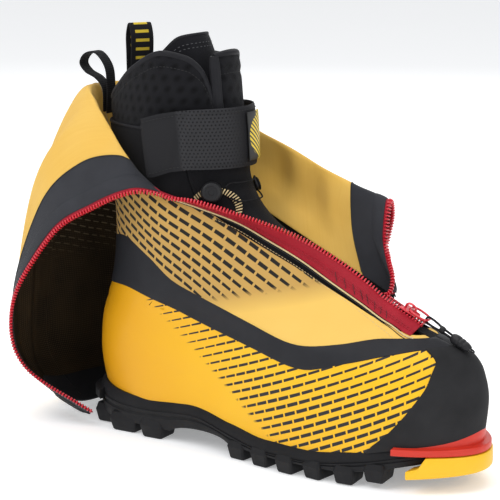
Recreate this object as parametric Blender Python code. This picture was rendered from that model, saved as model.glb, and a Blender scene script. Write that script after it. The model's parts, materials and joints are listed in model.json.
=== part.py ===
"""A double mountaineering boot, right foot, with its zip gaiter opened and turned down.

Metres, +Z up, +X towards the toe, +Y towards the big-toe side. The origin lies on the ground, under the
middle of the heel tread. Lengths below are in millimetres, and x is measured from the back of the heel;
at() turns them into the frame.
"""

import math

import bmesh
import bpy
import numpy as np
from mathutils import Matrix, Vector

# ---------------------------------------------------------------- driving dimensions (mm)
MM = 0.001
HEEL_TO_ORIGIN = 45.0      # from the back of the heel to the middle of the heel tread
GAP = 0.4                  # running gap between neighbouring pieces
SKIN = 1.8                 # upper panels
LINER = (3.6, 5.1)         # depth of the structural liner under the skin
BOOTIE = (7.0, 11.6)       # depth of the felt and foam wall of the removable inner boot
CUFF = (5.8, 10.4)         # its padded cuffs
TONGUE = (12.8, 16.4)      # its tongue, inside the cuffs
STRAP = (-3.0, -1.2)       # the ankle strap, outside the shaft
TAB = (-5.2, -3.9)
TOE_X = 325.0              # foremost point of the toe cap
CUFF_BASE_Z = 206.0        # where the inner boot's wall divides into cuffs and tongue
SHAFT_TOP_Z = 236.0        # top of the outer boot's own ankle shaft
GAITER = 1.4               # gaiter fabric with its lining

# Shape of the upper, level by level: z, back x, front x, lateral half width, medial half width,
# how foot-like the plan is (1 foot, 0 oval), and the share of the length taken by the rounded front.
LEVELS = (
    (14, 8, 314, 50, 47, 1.0, 0.22),
    (24, 5, 319, 51, 48, 1.0, 0.22),
    (40, 0, 323, 52, 49, 1.0, 0.22),
    (60, -3, TOE_X, 52, 49, 1.0, 0.23),
    (80, -2, 321, 50, 47.5, 1.0, 0.26),
    (93, 1, 311, 48, 46, 0.95, 0.34),
    (98, 3, 301, 47, 45, 0.9, 0.42),
    (103, 4, 286, 46, 44, 0.8, 0.52),
    (108, 6, 272, 45.5, 43.5, 0.65, 0.62),
    (114, 8, 260, 45, 43, 0.55, 0.67),
    (125, 10, 241, 43, 42, 0.4, 0.74),
    (140, 12, 214, 42, 41, 0.2, 0.80),
    (155, 13, 182, 41, 40, 0.1, 0.78),
    (170, 13, 154, 40, 39, 0.0, 0.66),
    (185, 12, 138, 40, 39, 0.0, 0.56),
    (205, 10, 129, 41, 40, 0.0, 0.52),
    (235, 7, 127, 43, 42, 0.0, 0.50),
    (265, 4, 124, 44, 43, 0.0, 0.50),
    (310, 2, 120, 44, 43, 0.0, 0.50),
)
# Half width along the foot, as a share of the widest: heel, waist, ball and toe.
FOOT_LATERAL = ((0.0, 0.70), (0.14, 0.72), (0.36, 0.76), (0.64, 1.0), (0.82, 0.93), (1.0, 0.80))
FOOT_MEDIAL = ((0.0, 0.72), (0.14, 0.73), (0.40, 0.68), (0.70, 1.0), (0.86, 1.0), (1.0, 0.94))

# Lines on the upper and the sole, as height over x.
SOLE_TOP = ((-6, 36), (20, 31), (60, 29), (105, 32), (140, 25), (175, 20), (212, 20), (250, 25), (285, 32),
            (325, 38))
TREAD = ((-6, 5), (12, 0.5), (30, 0), (235, 0), (262, 4), (290, 10), (325, 17))
RAND_TOP = ((-6, 108), (36, 113), (73, 107), (118, 95), (165, 86), (208, 79), (240, 87), (270, 95), (288, 98),
            (325, 98.4))
BAND_TOP = ((-6, 136), (36, 150), (66, 138), (89, 123), (118, 114), (160, 103), (206, 93.5), (235, 97),
            (262, 101.5), (284, 101.8), (325, 101.8))
NEAR_SEAM = ((-6, 199), (50, 199), (72, 191), (103, 183), (130, 174), (158, 161), (190, 146.5), (214, 134),
             (235, 123), (256, 112), (278, 104), (325, 103))
FAR_SEAM = ((-6, 199), (20, 199), (60, 192), (100, 174), (140, 157), (180, 141), (214, 128), (236, 119.5),
            (256, 111), (278, 104), (325, 103))
NEAR_CUFF_TOP = ((0, 245), (14, 252), (30, 262), (52, 278), (80, 290), (98, 287), (108, 279), (113, 268),
                 (117, 254), (121, 238))
FAR_CUFF_TOP = ((0, 254), (30, 272), (60, 284), (95, 283), (107, 281), (117, 289), (124, 291))
TONGUE_TOP = ((80, 280), (94, 292), (108, 301), (125, 304))
STRAP_LOW = ((50, 198), (72, 200), (90, 205.5), (104, 207.5), (130, 208))
STRAP_TOP = ((50, 237), (66, 243), (84, 248), (104, 251), (130, 252))
CAP_EDGE = ((14, 258), (27, 262), (41, 276), (61, 291), (78, 299), (90, 300), (98, 289))
TOE_LEDGE_Z = 31.8
WELT_SEAT = 8.0            # how far the toe welt's seat is let into the sole
HEEL_LEDGE_Z = 28.0

# The turned-down gaiter: paths from its seam, over the fold, down to the elastic hem. The first runs beside
# the near half of the zip, the last beside the far half.
GAITER_NEAR = (
    ((86, -43.5, 188.5), (73, -46, 196), (58, -52, 199), (28, -58, 186), (-9, -62, 161), (-44, -62, 102),
     (-45, -54, 46), (8, -37, 9)),
    ((50, -41, 200), (46, -44.5, 216), (38, -46, 231), (6, -50, 226), (-28, -50, 186), (-56, -44, 104),
     (-58, -38, 44), (-14, -30, 9)),
    ((19, -26, 200.5), (11, -30, 232), (5, -28, 255), (-16, -30, 234), (-42, -30, 180), (-60, -22, 100),
     (-62, -20, 40), (-40, -20, 13)),
    ((8, 0, 200.5), (-1, 0, 232), (-9, 0, 258), (-28, 0, 240), (-48, 0, 180), (-62, 0, 100), (-64, 0, 40),
     (-30, 2, 3.5)),
)
GAITER_FAR = (
    GAITER_NEAR[-1],
    ((20, 28, 200.5), (12, 34, 232), (8, 34, 256), (-14, 46, 230), (-34, 54, 170), (-46, 60, 96),
     (-46, 56, 40), (-22, 46, 4)),
    ((70, 43, 190.5), (62, 51, 216), (56, 55, 240), (40, 68, 206), (25, 80, 152), (12, 85, 90), (6, 82, 40),
     (4, 76, 10)),
    ((120, 37, 168.5), (118, 53, 194), (115, 56, 219), (112, 70, 190), (98, 81, 142), (72, 88, 90),
     (50, 84, 45), (38, 76, 12)),
    ((190, 28.5, 140.5), (178, 43, 169), (170, 51, 199), (170, 63, 178), (158, 76, 134), (122, 83, 90),
     (86, 80, 46), (56, 71, 14)),
    ((244, 19, 121), (220, 32, 154), (213, 45, 187), (206, 60, 170), (190, 70, 130), (158, 78, 88),
     (112, 77, 46), (72, 66, 15)),
)
NEAR_BAND = 0.16           # share of the near sheet taken by the grey band beside the zip
FAR_BAND = 0.88
HEM_T = 0.93
TAPE = 11.0                # zip tape, from fabric edge to teeth
TOOTH = 2.4                # zip teeth, across and through
ZIP_X = (277.0, 245.0)     # the zip's straight run over the instep
ZIP_Z = 110.2
ZIP_SLOPE = 0.5
SLIDER_X = 265.0
RING_R, RING_WIRE = 7.6, 0.85
CORD_R = 1.2
DIAL_AT = (-0.748, 191.0)  # turn and height of the dial on the shaft


def at(x, y, z):
    """Millimetres from the back of the heel, as a point in the frame."""
    return Vector(((x - HEEL_TO_ORIGIN) * MM, y * MM, z * MM))


# ---------------------------------------------------------------- curves and surfaces
def spline(knots, x):
    """Height over x through the knots, smooth and without overshoot."""
    xs = [k[0] for k in knots]
    ys = [k[1] for k in knots]
    if x <= xs[0]:
        return ys[0]
    if x >= xs[-1]:
        return ys[-1]
    slopes = [(ys[i + 1] - ys[i]) / (xs[i + 1] - xs[i]) for i in range(len(xs) - 1)]

    def tangent(i):
        if i == 0 or i == len(xs) - 1:
            return slopes[0] if i == 0 else slopes[-1]
        a, b = slopes[i - 1], slopes[i]
        return 0.0 if a * b <= 0 else 2 * a * b / (a + b)

    i = max(k for k in range(len(xs) - 1) if xs[k] <= x)
    h = xs[i + 1] - xs[i]
    s = (x - xs[i]) / h
    return ((1 + 2 * s) * (1 - s) ** 2 * ys[i] + s * (1 - s) ** 2 * h * tangent(i)
            + s * s * (3 - 2 * s) * ys[i + 1] + s * s * (s - 1) * h * tangent(i + 1))


def level(z, column):
    return spline([(row[0], row[column]) for row in LEVELS], z)


def catmull(points, t):
    """A point at t in 0..1 on the smooth curve through the given points."""
    n = len(points) - 1
    f = min(max(t, 0.0), 1.0) * n
    i = min(int(f), n - 1)
    s = f - i
    p1, p2 = points[i], points[i + 1]
    p0 = points[i - 1] if i > 0 else p1 * 2 - p2
    p3 = points[i + 2] if i + 2 <= n else p2 * 2 - p1
    return 0.5 * (2 * p1 + (p2 - p0) * s + (2 * p0 - 5 * p1 + 4 * p2 - p3) * s * s
                  + (3 * p1 - p0 - 3 * p2 + p3) * s ** 3)


def half_width(u, z, side):
    """Half width of the upper at the share u of its length, on the lateral (-1) or medial (+1) side."""
    widest = level(z, 3 if side < 0 else 4)
    foot = spline(FOOT_LATERAL if side < 0 else FOOT_MEDIAL, u)
    weight = level(z, 5)
    front, back = level(z, 6), 0.20 + 0.30 * (1 - weight)
    rounding = 1.0
    if u < back:
        rounding = math.sqrt(max(0.0, 1 - (1 - u / back) ** 2))
    if u > 1 - front:
        rounding *= math.sqrt(max(0.0, 1 - (1 - (1 - u) / front) ** 2))
    return widest * (weight * foot + (1 - weight)) * rounding


def skin(turn, z):
    """The upper's outer surface. turn is 0 at the back, -1 at the toe by the lateral side, +1 by the medial, and
    runs on past the toe to the other side."""
    if abs(turn) > 1:
        turn -= 2 * math.copysign(1, turn)
    back, front = level(z, 1), level(z, 2)
    u = (1 - math.cos(math.pi * abs(turn))) / 2
    side = -1 if turn < 0 else 1
    return at(back + u * (front - back), side * half_width(u, z, side), z)


def turn_of(x, z, side):
    """The turn at which the upper, at height z, passes x on one side."""
    back, front = level(z, 1), level(z, 2)
    u = min(max((x - back) / (front - back), 0.0), 1.0)
    return side * math.acos(1 - 2 * u) / math.pi


def skin_normal(turn, z):
    step = 0.004
    along = skin(turn + step, z) - skin(turn - step, z)
    up = skin(turn, z + 0.5) - skin(turn, z - 0.5)
    return up.cross(along).normalized()


def under(turn, z, depth):
    """A point a given depth under the upper's outer surface."""
    return skin(turn, z) - skin_normal(turn, z) * depth * MM


def x_of(point):
    return point.x / MM + HEEL_TO_ORIGIN


def line_height(turn, line):
    """Height at which the column at this turn meets a line drawn on the upper."""
    z = 80.0
    for _ in range(12):
        z = 0.5 * z + 0.5 * spline(line, x_of(skin(turn, z)))
    return z


# ---------------------------------------------------------------- mesh building
MATERIALS = {
    # name: (colour, roughness, metallic)
    "rand_yellow": ((0.90, 0.52, 0.03), 0.45, 0.0),
    "fabric_yellow": ((0.88, 0.60, 0.20), 0.75, 0.0),
    "lining_yellow": ((0.90, 0.62, 0.18), 0.8, 0.0),
    "band_grey": ((0.045, 0.047, 0.055), 0.6, 0.0),
    "rubber_black": ((0.02, 0.02, 0.022), 0.7, 0.0),
    "toe_rubber": ((0.04, 0.04, 0.043), 0.75, 0.0),
    "zip_red": ((0.62, 0.01, 0.03), 0.35, 0.0),
    "slider_red": ((0.60, 0.01, 0.03), 0.3, 0.6),
    "welt_red": ((0.75, 0.05, 0.02), 0.4, 0.0),
    "insert_yellow": ((0.95, 0.60, 0.02), 0.4, 0.0),
    "felt_black": ((0.015, 0.015, 0.017), 0.9, 0.0),
    "strap_black": ((0.03, 0.03, 0.033), 0.55, 0.0),
    "plastic_black": ((0.02, 0.02, 0.02), 0.4, 0.0),
    "patch_yellow": ((0.85, 0.70, 0.05), 0.6, 0.0),
    "steel": ((0.6, 0.6, 0.6), 0.3, 1.0),
    "carbon": ((0.03, 0.03, 0.03), 0.35, 0.0),
}


def material(name):
    found = bpy.data.materials.get(name)
    if found:
        return found
    colour, roughness, metallic = MATERIALS[name]
    made = bpy.data.materials.new(name)
    made.use_nodes = True
    shader = made.node_tree.nodes["Principled BSDF"]
    shader.inputs["Base Color"].default_value = (*colour, 1)
    shader.inputs["Roughness"].default_value = roughness
    shader.inputs["Metallic"].default_value = metallic
    return made


def add(name, mesh_builder, slot):
    """An object from a bmesh, with its faces facing out and its round surfaces smooth."""
    bmesh.ops.recalc_face_normals(mesh_builder, faces=mesh_builder.faces)
    if mesh_builder.calc_volume(signed=True) < 0:
        bmesh.ops.reverse_faces(mesh_builder, faces=mesh_builder.faces)
    data = bpy.data.meshes.new(name)
    mesh_builder.to_mesh(data)
    mesh_builder.free()
    data.materials.append(material(slot))
    data.shade_smooth()
    data.set_sharp_from_angle(angle=math.radians(35))
    made = bpy.data.objects.new(name, data)
    bpy.context.scene.collection.objects.link(made)
    return made


def quad(bm, *corners):
    if len({c.index for c in corners}) == len(corners):
        bm.faces.new(corners)


def vertex_grid(bm, rows):
    made = [[bm.verts.new(p) for p in row] for row in rows]
    bm.verts.index_update()
    return made


def slab(name, outer, inner, slot):
    """A closed plate between two grids of points of the same size."""
    bm = bmesh.new()
    a, b = vertex_grid(bm, outer), vertex_grid(bm, inner)
    rows, columns = len(a), len(a[0])
    for i in range(rows - 1):
        for j in range(columns - 1):
            bm.faces.new((a[i][j], a[i + 1][j], a[i + 1][j + 1], a[i][j + 1]))
            bm.faces.new((b[i][j], b[i][j + 1], b[i + 1][j + 1], b[i + 1][j]))
    for i in range(rows - 1):
        for j, order in ((0, 1), (columns - 1, -1)):
            ring = (a[i][j], b[i][j], b[i + 1][j], a[i + 1][j])
            bm.faces.new(ring[::order])
    for j in range(columns - 1):
        for i, order in ((0, -1), (rows - 1, 1)):
            ring = (a[i][j], b[i][j], b[i][j + 1], a[i][j + 1])
            bm.faces.new(ring[::order])
    return add(name, bm, slot)


def grid_normals(points):
    """Normals of a grid of points, from its neighbours."""
    rows, columns = len(points), len(points[0])
    normals = []
    for i in range(rows):
        line = []
        for j in range(columns):
            down = points[min(i + 1, rows - 1)][j] - points[max(i - 1, 0)][j]
            across = points[i][min(j + 1, columns - 1)] - points[i][max(j - 1, 0)]
            line.append(down.cross(across).normalized())
        normals.append(line)
    return normals


def plate(name, points, thickness, slot):
    """A plate with one face on the grid of points, and its thickness (mm) along the grid's normal."""
    normals = grid_normals(points)
    other = [[p + n * thickness * MM for p, n in zip(row, line)] for row, line in zip(points, normals)]
    return slab(name, points, other, slot)


def loft(name, rings, slot):
    """A closed solid through rings of points, with flat ends."""
    bm = bmesh.new()
    made = vertex_grid(bm, rings)
    count = len(rings[0])
    for first, second in zip(made, made[1:]):
        for j in range(count):
            k = (j + 1) % count
            bm.faces.new((first[j], second[j], second[k], first[k]))
    bm.faces.new(made[0])
    bm.faces.new(made[-1][::-1])
    bmesh.ops.triangulate(bm, faces=[f for f in bm.faces if len(f.verts) > 4])
    return add(name, bm, slot)


def tube(name, points, radius, slot, sides=8, closed=False):
    """A round bar (mm radius) along points in the frame, carried without twist."""
    count = len(points)
    rings = []
    reference = None
    for i, p in enumerate(points):
        ahead = points[(i + 1) % count] if closed or i + 1 < count else p
        behind = points[i - 1] if closed or i else p
        tangent = (ahead - behind).normalized()
        if reference is None:
            reference = tangent.orthogonal().normalized()
        reference = (reference - tangent * reference.dot(tangent)).normalized()
        other = tangent.cross(reference)
        rings.append([p + (reference * math.cos(a) + other * math.sin(a)) * radius * MM
                      for a in (2 * math.pi * k / sides for k in range(sides))])
    if not closed:
        return loft(name, rings, slot)
    bm = bmesh.new()
    made = vertex_grid(bm, rings)
    for i in range(count):
        first, second = made[i], made[(i + 1) % count]
        for j in range(sides):
            k = (j + 1) % sides
            bm.faces.new((first[j], second[j], second[k], first[k]))
    return add(name, bm, slot)


def axis_frame(origin, direction):
    """A matrix at origin whose Z points along direction."""
    return Matrix.Translation(origin) @ direction.to_track_quat("Z", "Y").to_matrix().to_4x4()


def turned(name, profile, frame, slot, sides=24):
    """A solid of revolution about the frame's Z, from (radius, height) in mm, closed on the axis."""
    rings = [[frame @ Vector((r * MM * math.cos(a), r * MM * math.sin(a), h * MM))
              for a in (2 * math.pi * k / sides for k in range(sides))] for r, h in profile]
    return loft(name, rings, slot)


def ring_solid(name, outline, frame, slot, sides=24):
    """A ring of revolution about the frame's Z, from a closed outline of (radius, height) in mm."""
    bm = bmesh.new()
    made = [[bm.verts.new(frame @ Vector((r * MM * math.cos(a), r * MM * math.sin(a), h * MM)))
             for r, h in outline] for a in (2 * math.pi * k / sides for k in range(sides))]
    count = len(outline)
    for i in range(sides):
        first, second = made[i], made[(i + 1) % sides]
        for j in range(count):
            k = (j + 1) % count
            bm.faces.new((first[j], second[j], second[k], first[k]))
    return add(name, bm, slot)


def steps(count, low=0.0, high=1.0):
    return [low + (high - low) * i / count for i in range(count + 1)]


def cut(target, cutter):
    """Cuts a hidden tool out of an object and removes the tool."""
    boolean = target.modifiers.new("cut", "BOOLEAN")
    boolean.operation = "DIFFERENCE"
    boolean.object = cutter
    apply_modifiers(target)
    bpy.data.objects.remove(cutter)


def apply_modifiers(target):
    graph = bpy.context.evaluated_depsgraph_get()
    graph.update()
    result = bpy.data.meshes.new_from_object(target.evaluated_get(graph))
    target.modifiers.clear()
    target.data = result


def join_union(target, others):
    """Fuses overlapping pieces of one moulding into one body."""
    group = bpy.data.collections.new(target.name + "_union")
    bpy.context.scene.collection.children.link(group)
    for piece in others:
        group.objects.link(piece)
    boolean = target.modifiers.new("union", "BOOLEAN")
    boolean.operation = "UNION"
    boolean.operand_type = "COLLECTION"
    boolean.collection = group
    apply_modifiers(target)
    for piece in others:
        bpy.data.objects.remove(piece)
    bpy.data.collections.remove(group)


# ---------------------------------------------------------------- sole unit
def sole_half_width(x, side, inset, front_inset=None):
    """Half width of the sole's plan at x, drawn in all round by inset and at the tip by front_inset."""
    back, front = -2 + inset, TOE_X - (inset if front_inset is None else front_inset)
    u = min(max((x - back) / (front - back), 0.0), 1.0)
    foot = spline(FOOT_LATERAL if side < 0 else FOOT_MEDIAL, u)
    rounding = 1.0
    if u < 0.16:
        rounding = math.sqrt(max(0.0, 1 - (1 - u / 0.16) ** 2))
    if u > 0.76:
        rounding *= math.sqrt(max(0.0, 1 - (1 - (1 - u) / 0.24) ** 2))
    return max(((53.5 if side < 0 else 50.5) - inset) * foot * rounding, 1.0)


def sole_layer(name, inset, low, high, slot, start=0.0, end=1.0, stations=24):
    """A layer of the sole between two heights over x, following the plan of the boot."""
    setback = max(inset, WELT_SEAT)
    back, front = -2 + inset, TOE_X - setback
    rings = []
    for t in steps(stations, start, end):
        x = back + (front - back) * (1 - math.cos(math.pi * t)) / 2
        near, far = (sole_half_width(x, side, inset, setback) for side in (-1, 1))
        rings.append([at(x, -near, low(x)), at(x, far, low(x)), at(x, far, high(x)), at(x, -near, high(x))])
    return loft(name, rings, slot)


def lug(x, y, length, width, heading, taper=0.82):
    """One tread lug, reaching from inside the tread plate down to the ground line."""
    ground, root = spline(TREAD, x), spline(TREAD, x) + 10.5
    rings = []
    for z, scale in ((ground, taper), (root, 1.0)):
        corners = [(-length, -width), (length, -width), (length, width), (-length, width)]
        c, s = math.cos(heading), math.sin(heading)
        rings.append([at(x + scale * (c * a - s * b) / 2, y + scale * (s * a + c * b) / 2, z)
                      for a, b in corners])
    return loft("lug", rings, "rubber_black")


def make_sole():
    top = lambda x: spline(SOLE_TOP, x)
    tread = lambda x: spline(TREAD, x)

    def arch(x):
        """Extra height of the tread plate over the open arch between heel and forefoot."""
        return 10.0 * max(0.0, 1 - ((x - 113) / 27.0) ** 2) ** 0.5 if abs(x - 113) < 27 else 0.0

    plate_base = lambda x: min(tread(x) + 8.5 + 0.55 * arch(x), top(x) - 9.5)
    split = lambda x: top(x) - 8.0
    outsole = sole_layer("outsole", 0.6, plate_base, split, "rubber_black")
    lugs = []
    for side in (-1, 1):
        for x in (16, 40, 66):
            lugs.append(lug(x, side * (sole_half_width(x, side, 0.6) - 10.5), 19, 19, side * 0.06))
        for x in (152, 174, 196, 218, 240, 262):
            edge = sole_half_width(x, side, 0.6)
            lugs.append(lug(x, side * (edge - 11.5), 15.5, 21, side * 0.10))
    lugs.append(lug(HEEL_TO_ORIGIN, 0, 17, 15, 0))
    for x in (163, 185, 207, 229, 251):
        for y in (-13, 13):
            lugs.append(lug(x, y, 13, 17, 0.25 * (1 if y > 0 else -1)))
    join_union(outsole, lugs)
    sole_layer("midsole", 1.2, lambda x: split(x) + 0.35, lambda x: top(x) - 0.4, "rubber_black")
    sole_layer("shank_plate", 10.0, lambda x: top(x) + 0.2, lambda x: top(x) + 1.8, "carbon")
    return top


def toe_arc(t, inset, tip, length):
    """A point (x, y) on the sole's plan round the toe: t from -1 at the lateral end to +1 at the medial."""
    side = -1 if t < 0 else 1
    x = TOE_X - tip - (length - tip) * (1 - math.cos(abs(t) * math.pi / 2))
    return x, side * sole_half_width(x, side, inset, tip) * min(1.0, abs(t) * 40)


def heel_arc(t, inset, tip, length):
    side = -1 if t < 0 else 1
    x = -2 + inset + (length - inset) * (1 - math.cos(abs(t) * math.pi / 2))
    return x, side * sole_half_width(x, side, inset) * min(1.0, abs(t) * 40)


def crescent(name, arc, length, inner, outer, low, high, slot, count=20):
    """A crescent following the sole's plan. inner and outer are the insets at the side and at the tip."""
    grids = []
    for inset, tip in (outer, inner):
        grids.append([[at(x, y, low), at(x, y, high)]
                      for x, y in (arc(t, inset, tip, length) for t in steps(count, -1, 1))])
    return slab(name, grids[0], grids[1], slot)


def make_welts():
    """The ledges that hold a crampon's bails: red and yellow at the toe, black at the heel."""
    crescent("toe_welt", toe_arc, 40, (0.0, WELT_SEAT - 0.5), (-3.0, -3.2), 26.6, TOE_LEDGE_Z, "welt_red")
    crescent("toe_insert", toe_arc, 36, (0.0, WELT_SEAT - 0.5), (-4.0, -4.4), 12.5, 26.1, "insert_yellow")
    crescent("heel_welt", heel_arc, 14, (0.1, 0.1), (-5.0, -5.0), 20.0, HEEL_LEDGE_Z, "rubber_black", 12)


# ---------------------------------------------------------------- the upper on its surface
def panel(name, depth, low, high, start, end, slot, rows=6, columns=40):
    """A plate on the upper from turn start to turn end, between the lines low and high."""
    grids = [[], []]
    for r in steps(rows):
        for grid in grids:
            grid.append([])
        for c in steps(columns):
            turn, z = 0.0, 80.0
            for _ in range(8):
                first = start(z) if callable(start) else start
                last = end(z) if callable(end) else end
                turn = first + (last - first) * c
                bottom = line_height(turn, low)
                z = bottom + GAP + (line_height(turn, high) - bottom - 2 * GAP) * r
            grids[0][-1].append(under(turn, z, depth[0]))
            grids[1][-1].append(under(turn, z, depth[1]))
    return slab(name, grids[0], grids[1], slot)


def across_toe(name, depth, low, high, lateral, medial, slot, rows=6, columns=20):
    """A plate over the toe or instep, from a lateral turn round the front to a medial turn."""
    grids = [[], []]
    for r in steps(rows):
        for grid in grids:
            grid.append([])
        for c in steps(columns, -1, 1):
            turn, z = 1.0, 90.0
            for _ in range(8):
                limit = abs((lateral if c < 0 else medial)(z))
                turn = (-1 if c < 0 else 1) * (1 - (1 - limit) * abs(c))
                bottom = line_height(turn, low)
                z = bottom + GAP + (line_height(turn, high) - bottom - 2 * GAP) * r
            grids[0][-1].append(under(turn, z, depth[0]))
            grids[1][-1].append(under(turn, z, depth[1]))
    return slab(name, grids[0], grids[1], slot)


def ring_rows(depth, heights, lift, columns):
    """Rings of points right round the upper at a depth; the lowest follow the top of the sole."""
    rows = []
    for i, height in enumerate(heights):
        row = []
        for k in range(columns):
            turn, z = -1 + 2 * k / columns, height
            for _ in range(4):
                rise = spline(SOLE_TOP, x_of(skin(turn, z))) + lift - heights[0]
                z = height + rise * max(0.0, 1 - i / 4)
            row.append(under(turn, z, depth))
        rows.append(row)
    return rows


def floor_faces(bm, ring, flip):
    """Closes a ring with strips from side to side, so the floor keeps the sole's shape along the foot."""
    count = len(ring)
    for k in range(count // 2):
        corners = [ring[k], ring[k + 1], ring[(count - k - 1) % count], ring[(count - k) % count]]
        corners = list(dict.fromkeys(corners))
        bm.faces.new(corners[::-1] if flip else corners)


def cup(name, depth, heights, lift, floor_thickness, slot, columns=30):
    """An open-topped sock on the upper: an outer wall, an inner wall and a closed sole."""
    outer = ring_rows(depth[0], heights, lift, columns)
    inner = ring_rows(depth[1], heights, lift + floor_thickness, columns)
    bm = bmesh.new()
    a, b = vertex_grid(bm, outer), vertex_grid(bm, inner)
    for grid, flip in ((a, False), (b, True)):
        for low, high in zip(grid, grid[1:]):
            for k in range(columns):
                m = (k + 1) % columns
                face = (low[k], low[m], high[m], high[k])
                bm.faces.new(face[::-1] if flip else face)
        floor_faces(bm, grid[0], not flip)
    for k in range(columns):
        m = (k + 1) % columns
        bm.faces.new((a[-1][k], a[-1][m], b[-1][m], b[-1][k]))
    return add(name, bm, slot)


def cap_turn(z, side, spare=0.0):
    """The turn at which the toe cap's edge crosses height z."""
    return side * min(abs(turn_of(spline(CAP_EDGE, z) - spare, z, side)), 0.985)


def make_upper():
    flat = lambda value: ((-6, value), (330, value))
    panel("rand_shell", (0, SKIN), SOLE_TOP, RAND_TOP, lambda z: cap_turn(z, -1, GAP),
          lambda z: cap_turn(z, 1, GAP), "rand_yellow", 5, 40)
    across_toe("toe_cap", (0, SKIN), SOLE_TOP, RAND_TOP, lambda z: cap_turn(z, -1), lambda z: cap_turn(z, 1),
               "toe_rubber", 6, 16)
    panel("rand_band", (0, SKIN), RAND_TOP, BAND_TOP, -0.998, 0.998, "band_grey", 2, 44)
    panel("vamp_near", (0, SKIN), BAND_TOP, NEAR_SEAM, -0.95264, -0.003, "fabric_yellow", 5, 21)
    panel("vamp_far", (0, SKIN), BAND_TOP, FAR_SEAM, 0.003, 0.95264, "fabric_yellow", 4, 21)
    across_toe("zip_garage", (0, SKIN), BAND_TOP, flat(113.5), lambda z: -0.957, lambda z: 0.957,
               "rubber_black", 2, 6)
    cup("shell_body", LINER, (24, 46, 70, 90, 99, 106, 114, 128, 147.6), 3.8, 1.6, "felt_black", 40)
    panel("shell_shaft", LINER, flat(148), flat(SHAFT_TOP_Z), -0.66, 0.80, "felt_black", 5, 18)
    across_toe("shell_tongue", LINER, flat(148), flat(SHAFT_TOP_Z - 8), lambda z: -0.668, lambda z: 0.808,
               "felt_black", 7, 12)
    cup("bootie_body", BOOTIE, (26, 46, 70, 90, 100, 107, 115, 128, 146, 165, 185, CUFF_BASE_Z), 7.0,
        3.0, "felt_black", 36)
    sole_layer("footbed", 20.0, lambda x: spline(SOLE_TOP, x) + 13.6, lambda x: spline(SOLE_TOP, x) + 16.2,
               "felt_black", 0.02, 0.98, 22)
    panel("bootie_cuff_near", CUFF, flat(CUFF_BASE_Z), NEAR_CUFF_TOP, -0.84, -0.006, "felt_black", 4, 14)
    panel("bootie_cuff_far", CUFF, flat(CUFF_BASE_Z), FAR_CUFF_TOP, 0.006, 1.14, "felt_black", 4, 20)
    tongue = across_toe("bootie_tongue", TONGUE, flat(186), TONGUE_TOP, lambda z: -0.60, lambda z: 0.76,
                        "felt_black", 6, 10)
    for vert in tongue.data.vertices:
        vert.co.x -= 0.24 * max(0.0, vert.co.z - 0.232)
    across_toe("bootie_strap", STRAP, STRAP_LOW, STRAP_TOP, lambda z: -0.50, lambda z: 0.66, "strap_black",
               1, 16)
    across_toe("strap_tab", TAB, flat(212), flat(247), lambda z: -0.985, lambda z: 0.86, "patch_yellow", 1, 6)


# ---------------------------------------------------------------- the gaiter, turned down
def station_point(stations, s, t):
    """A point on a sheet given by paths of control points, s across the paths and t along them."""
    return catmull([catmull(path, t) for path in stations], s)


def paths(rows):
    return [[at(*p) for p in row] for row in rows]


def sheet(name, stations, s_range, t_range, slot, s_steps, t_steps, thickness=GAITER, lift=0.0):
    """A fabric sheet over part of the surface through the stations, with its thickness centred on it."""
    points = [[station_point(stations, s, t) for s in steps(s_steps, *s_range)]
              for t in steps(t_steps, *t_range)]
    normals = grid_normals(points)
    outer, inner = [[[p + n * (lift + side * thickness / 2) * MM for p, n in zip(row, line)]
                     for row, line in zip(points, normals)] for side in (1, -1)]
    return slab(name, outer, inner, slot)


def make_gaiter():
    near, far = paths(GAITER_NEAR), paths(GAITER_FAR)
    sheet("gaiter_near", near, (NEAR_BAND + 0.022, 0.996), (0, HEM_T - 0.003), "lining_yellow", 12, 18)
    sheet("gaiter_band_near", near, (0.0, NEAR_BAND), (0, HEM_T - 0.003), "band_grey", 2, 18)
    sheet("gaiter_far", far, (0.004, FAR_BAND - 0.010), (0, HEM_T - 0.003), "lining_yellow", 14, 18)
    sheet("gaiter_band_far", far, (FAR_BAND, 1.0), (0, HEM_T - 0.003), "band_grey", 2, 18)
    sheet("gaiter_hem_near", near, (0.0, 0.996), (HEM_T, 1.0), "rubber_black", 12, 1, 2.4)
    sheet("gaiter_hem_far", far, (0.004, 1.0), (HEM_T, 1.0), "rubber_black", 14, 1, 2.4)
    return near, far


def zip_plane(x, y, lift=0.0):
    """A point on the zip's straight run, lifted square to it."""
    scale = math.hypot(1, ZIP_SLOPE)
    return at(x + lift * ZIP_SLOPE / scale, y, ZIP_Z + (ZIP_X[0] - x) * ZIP_SLOPE + lift / scale)


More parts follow.
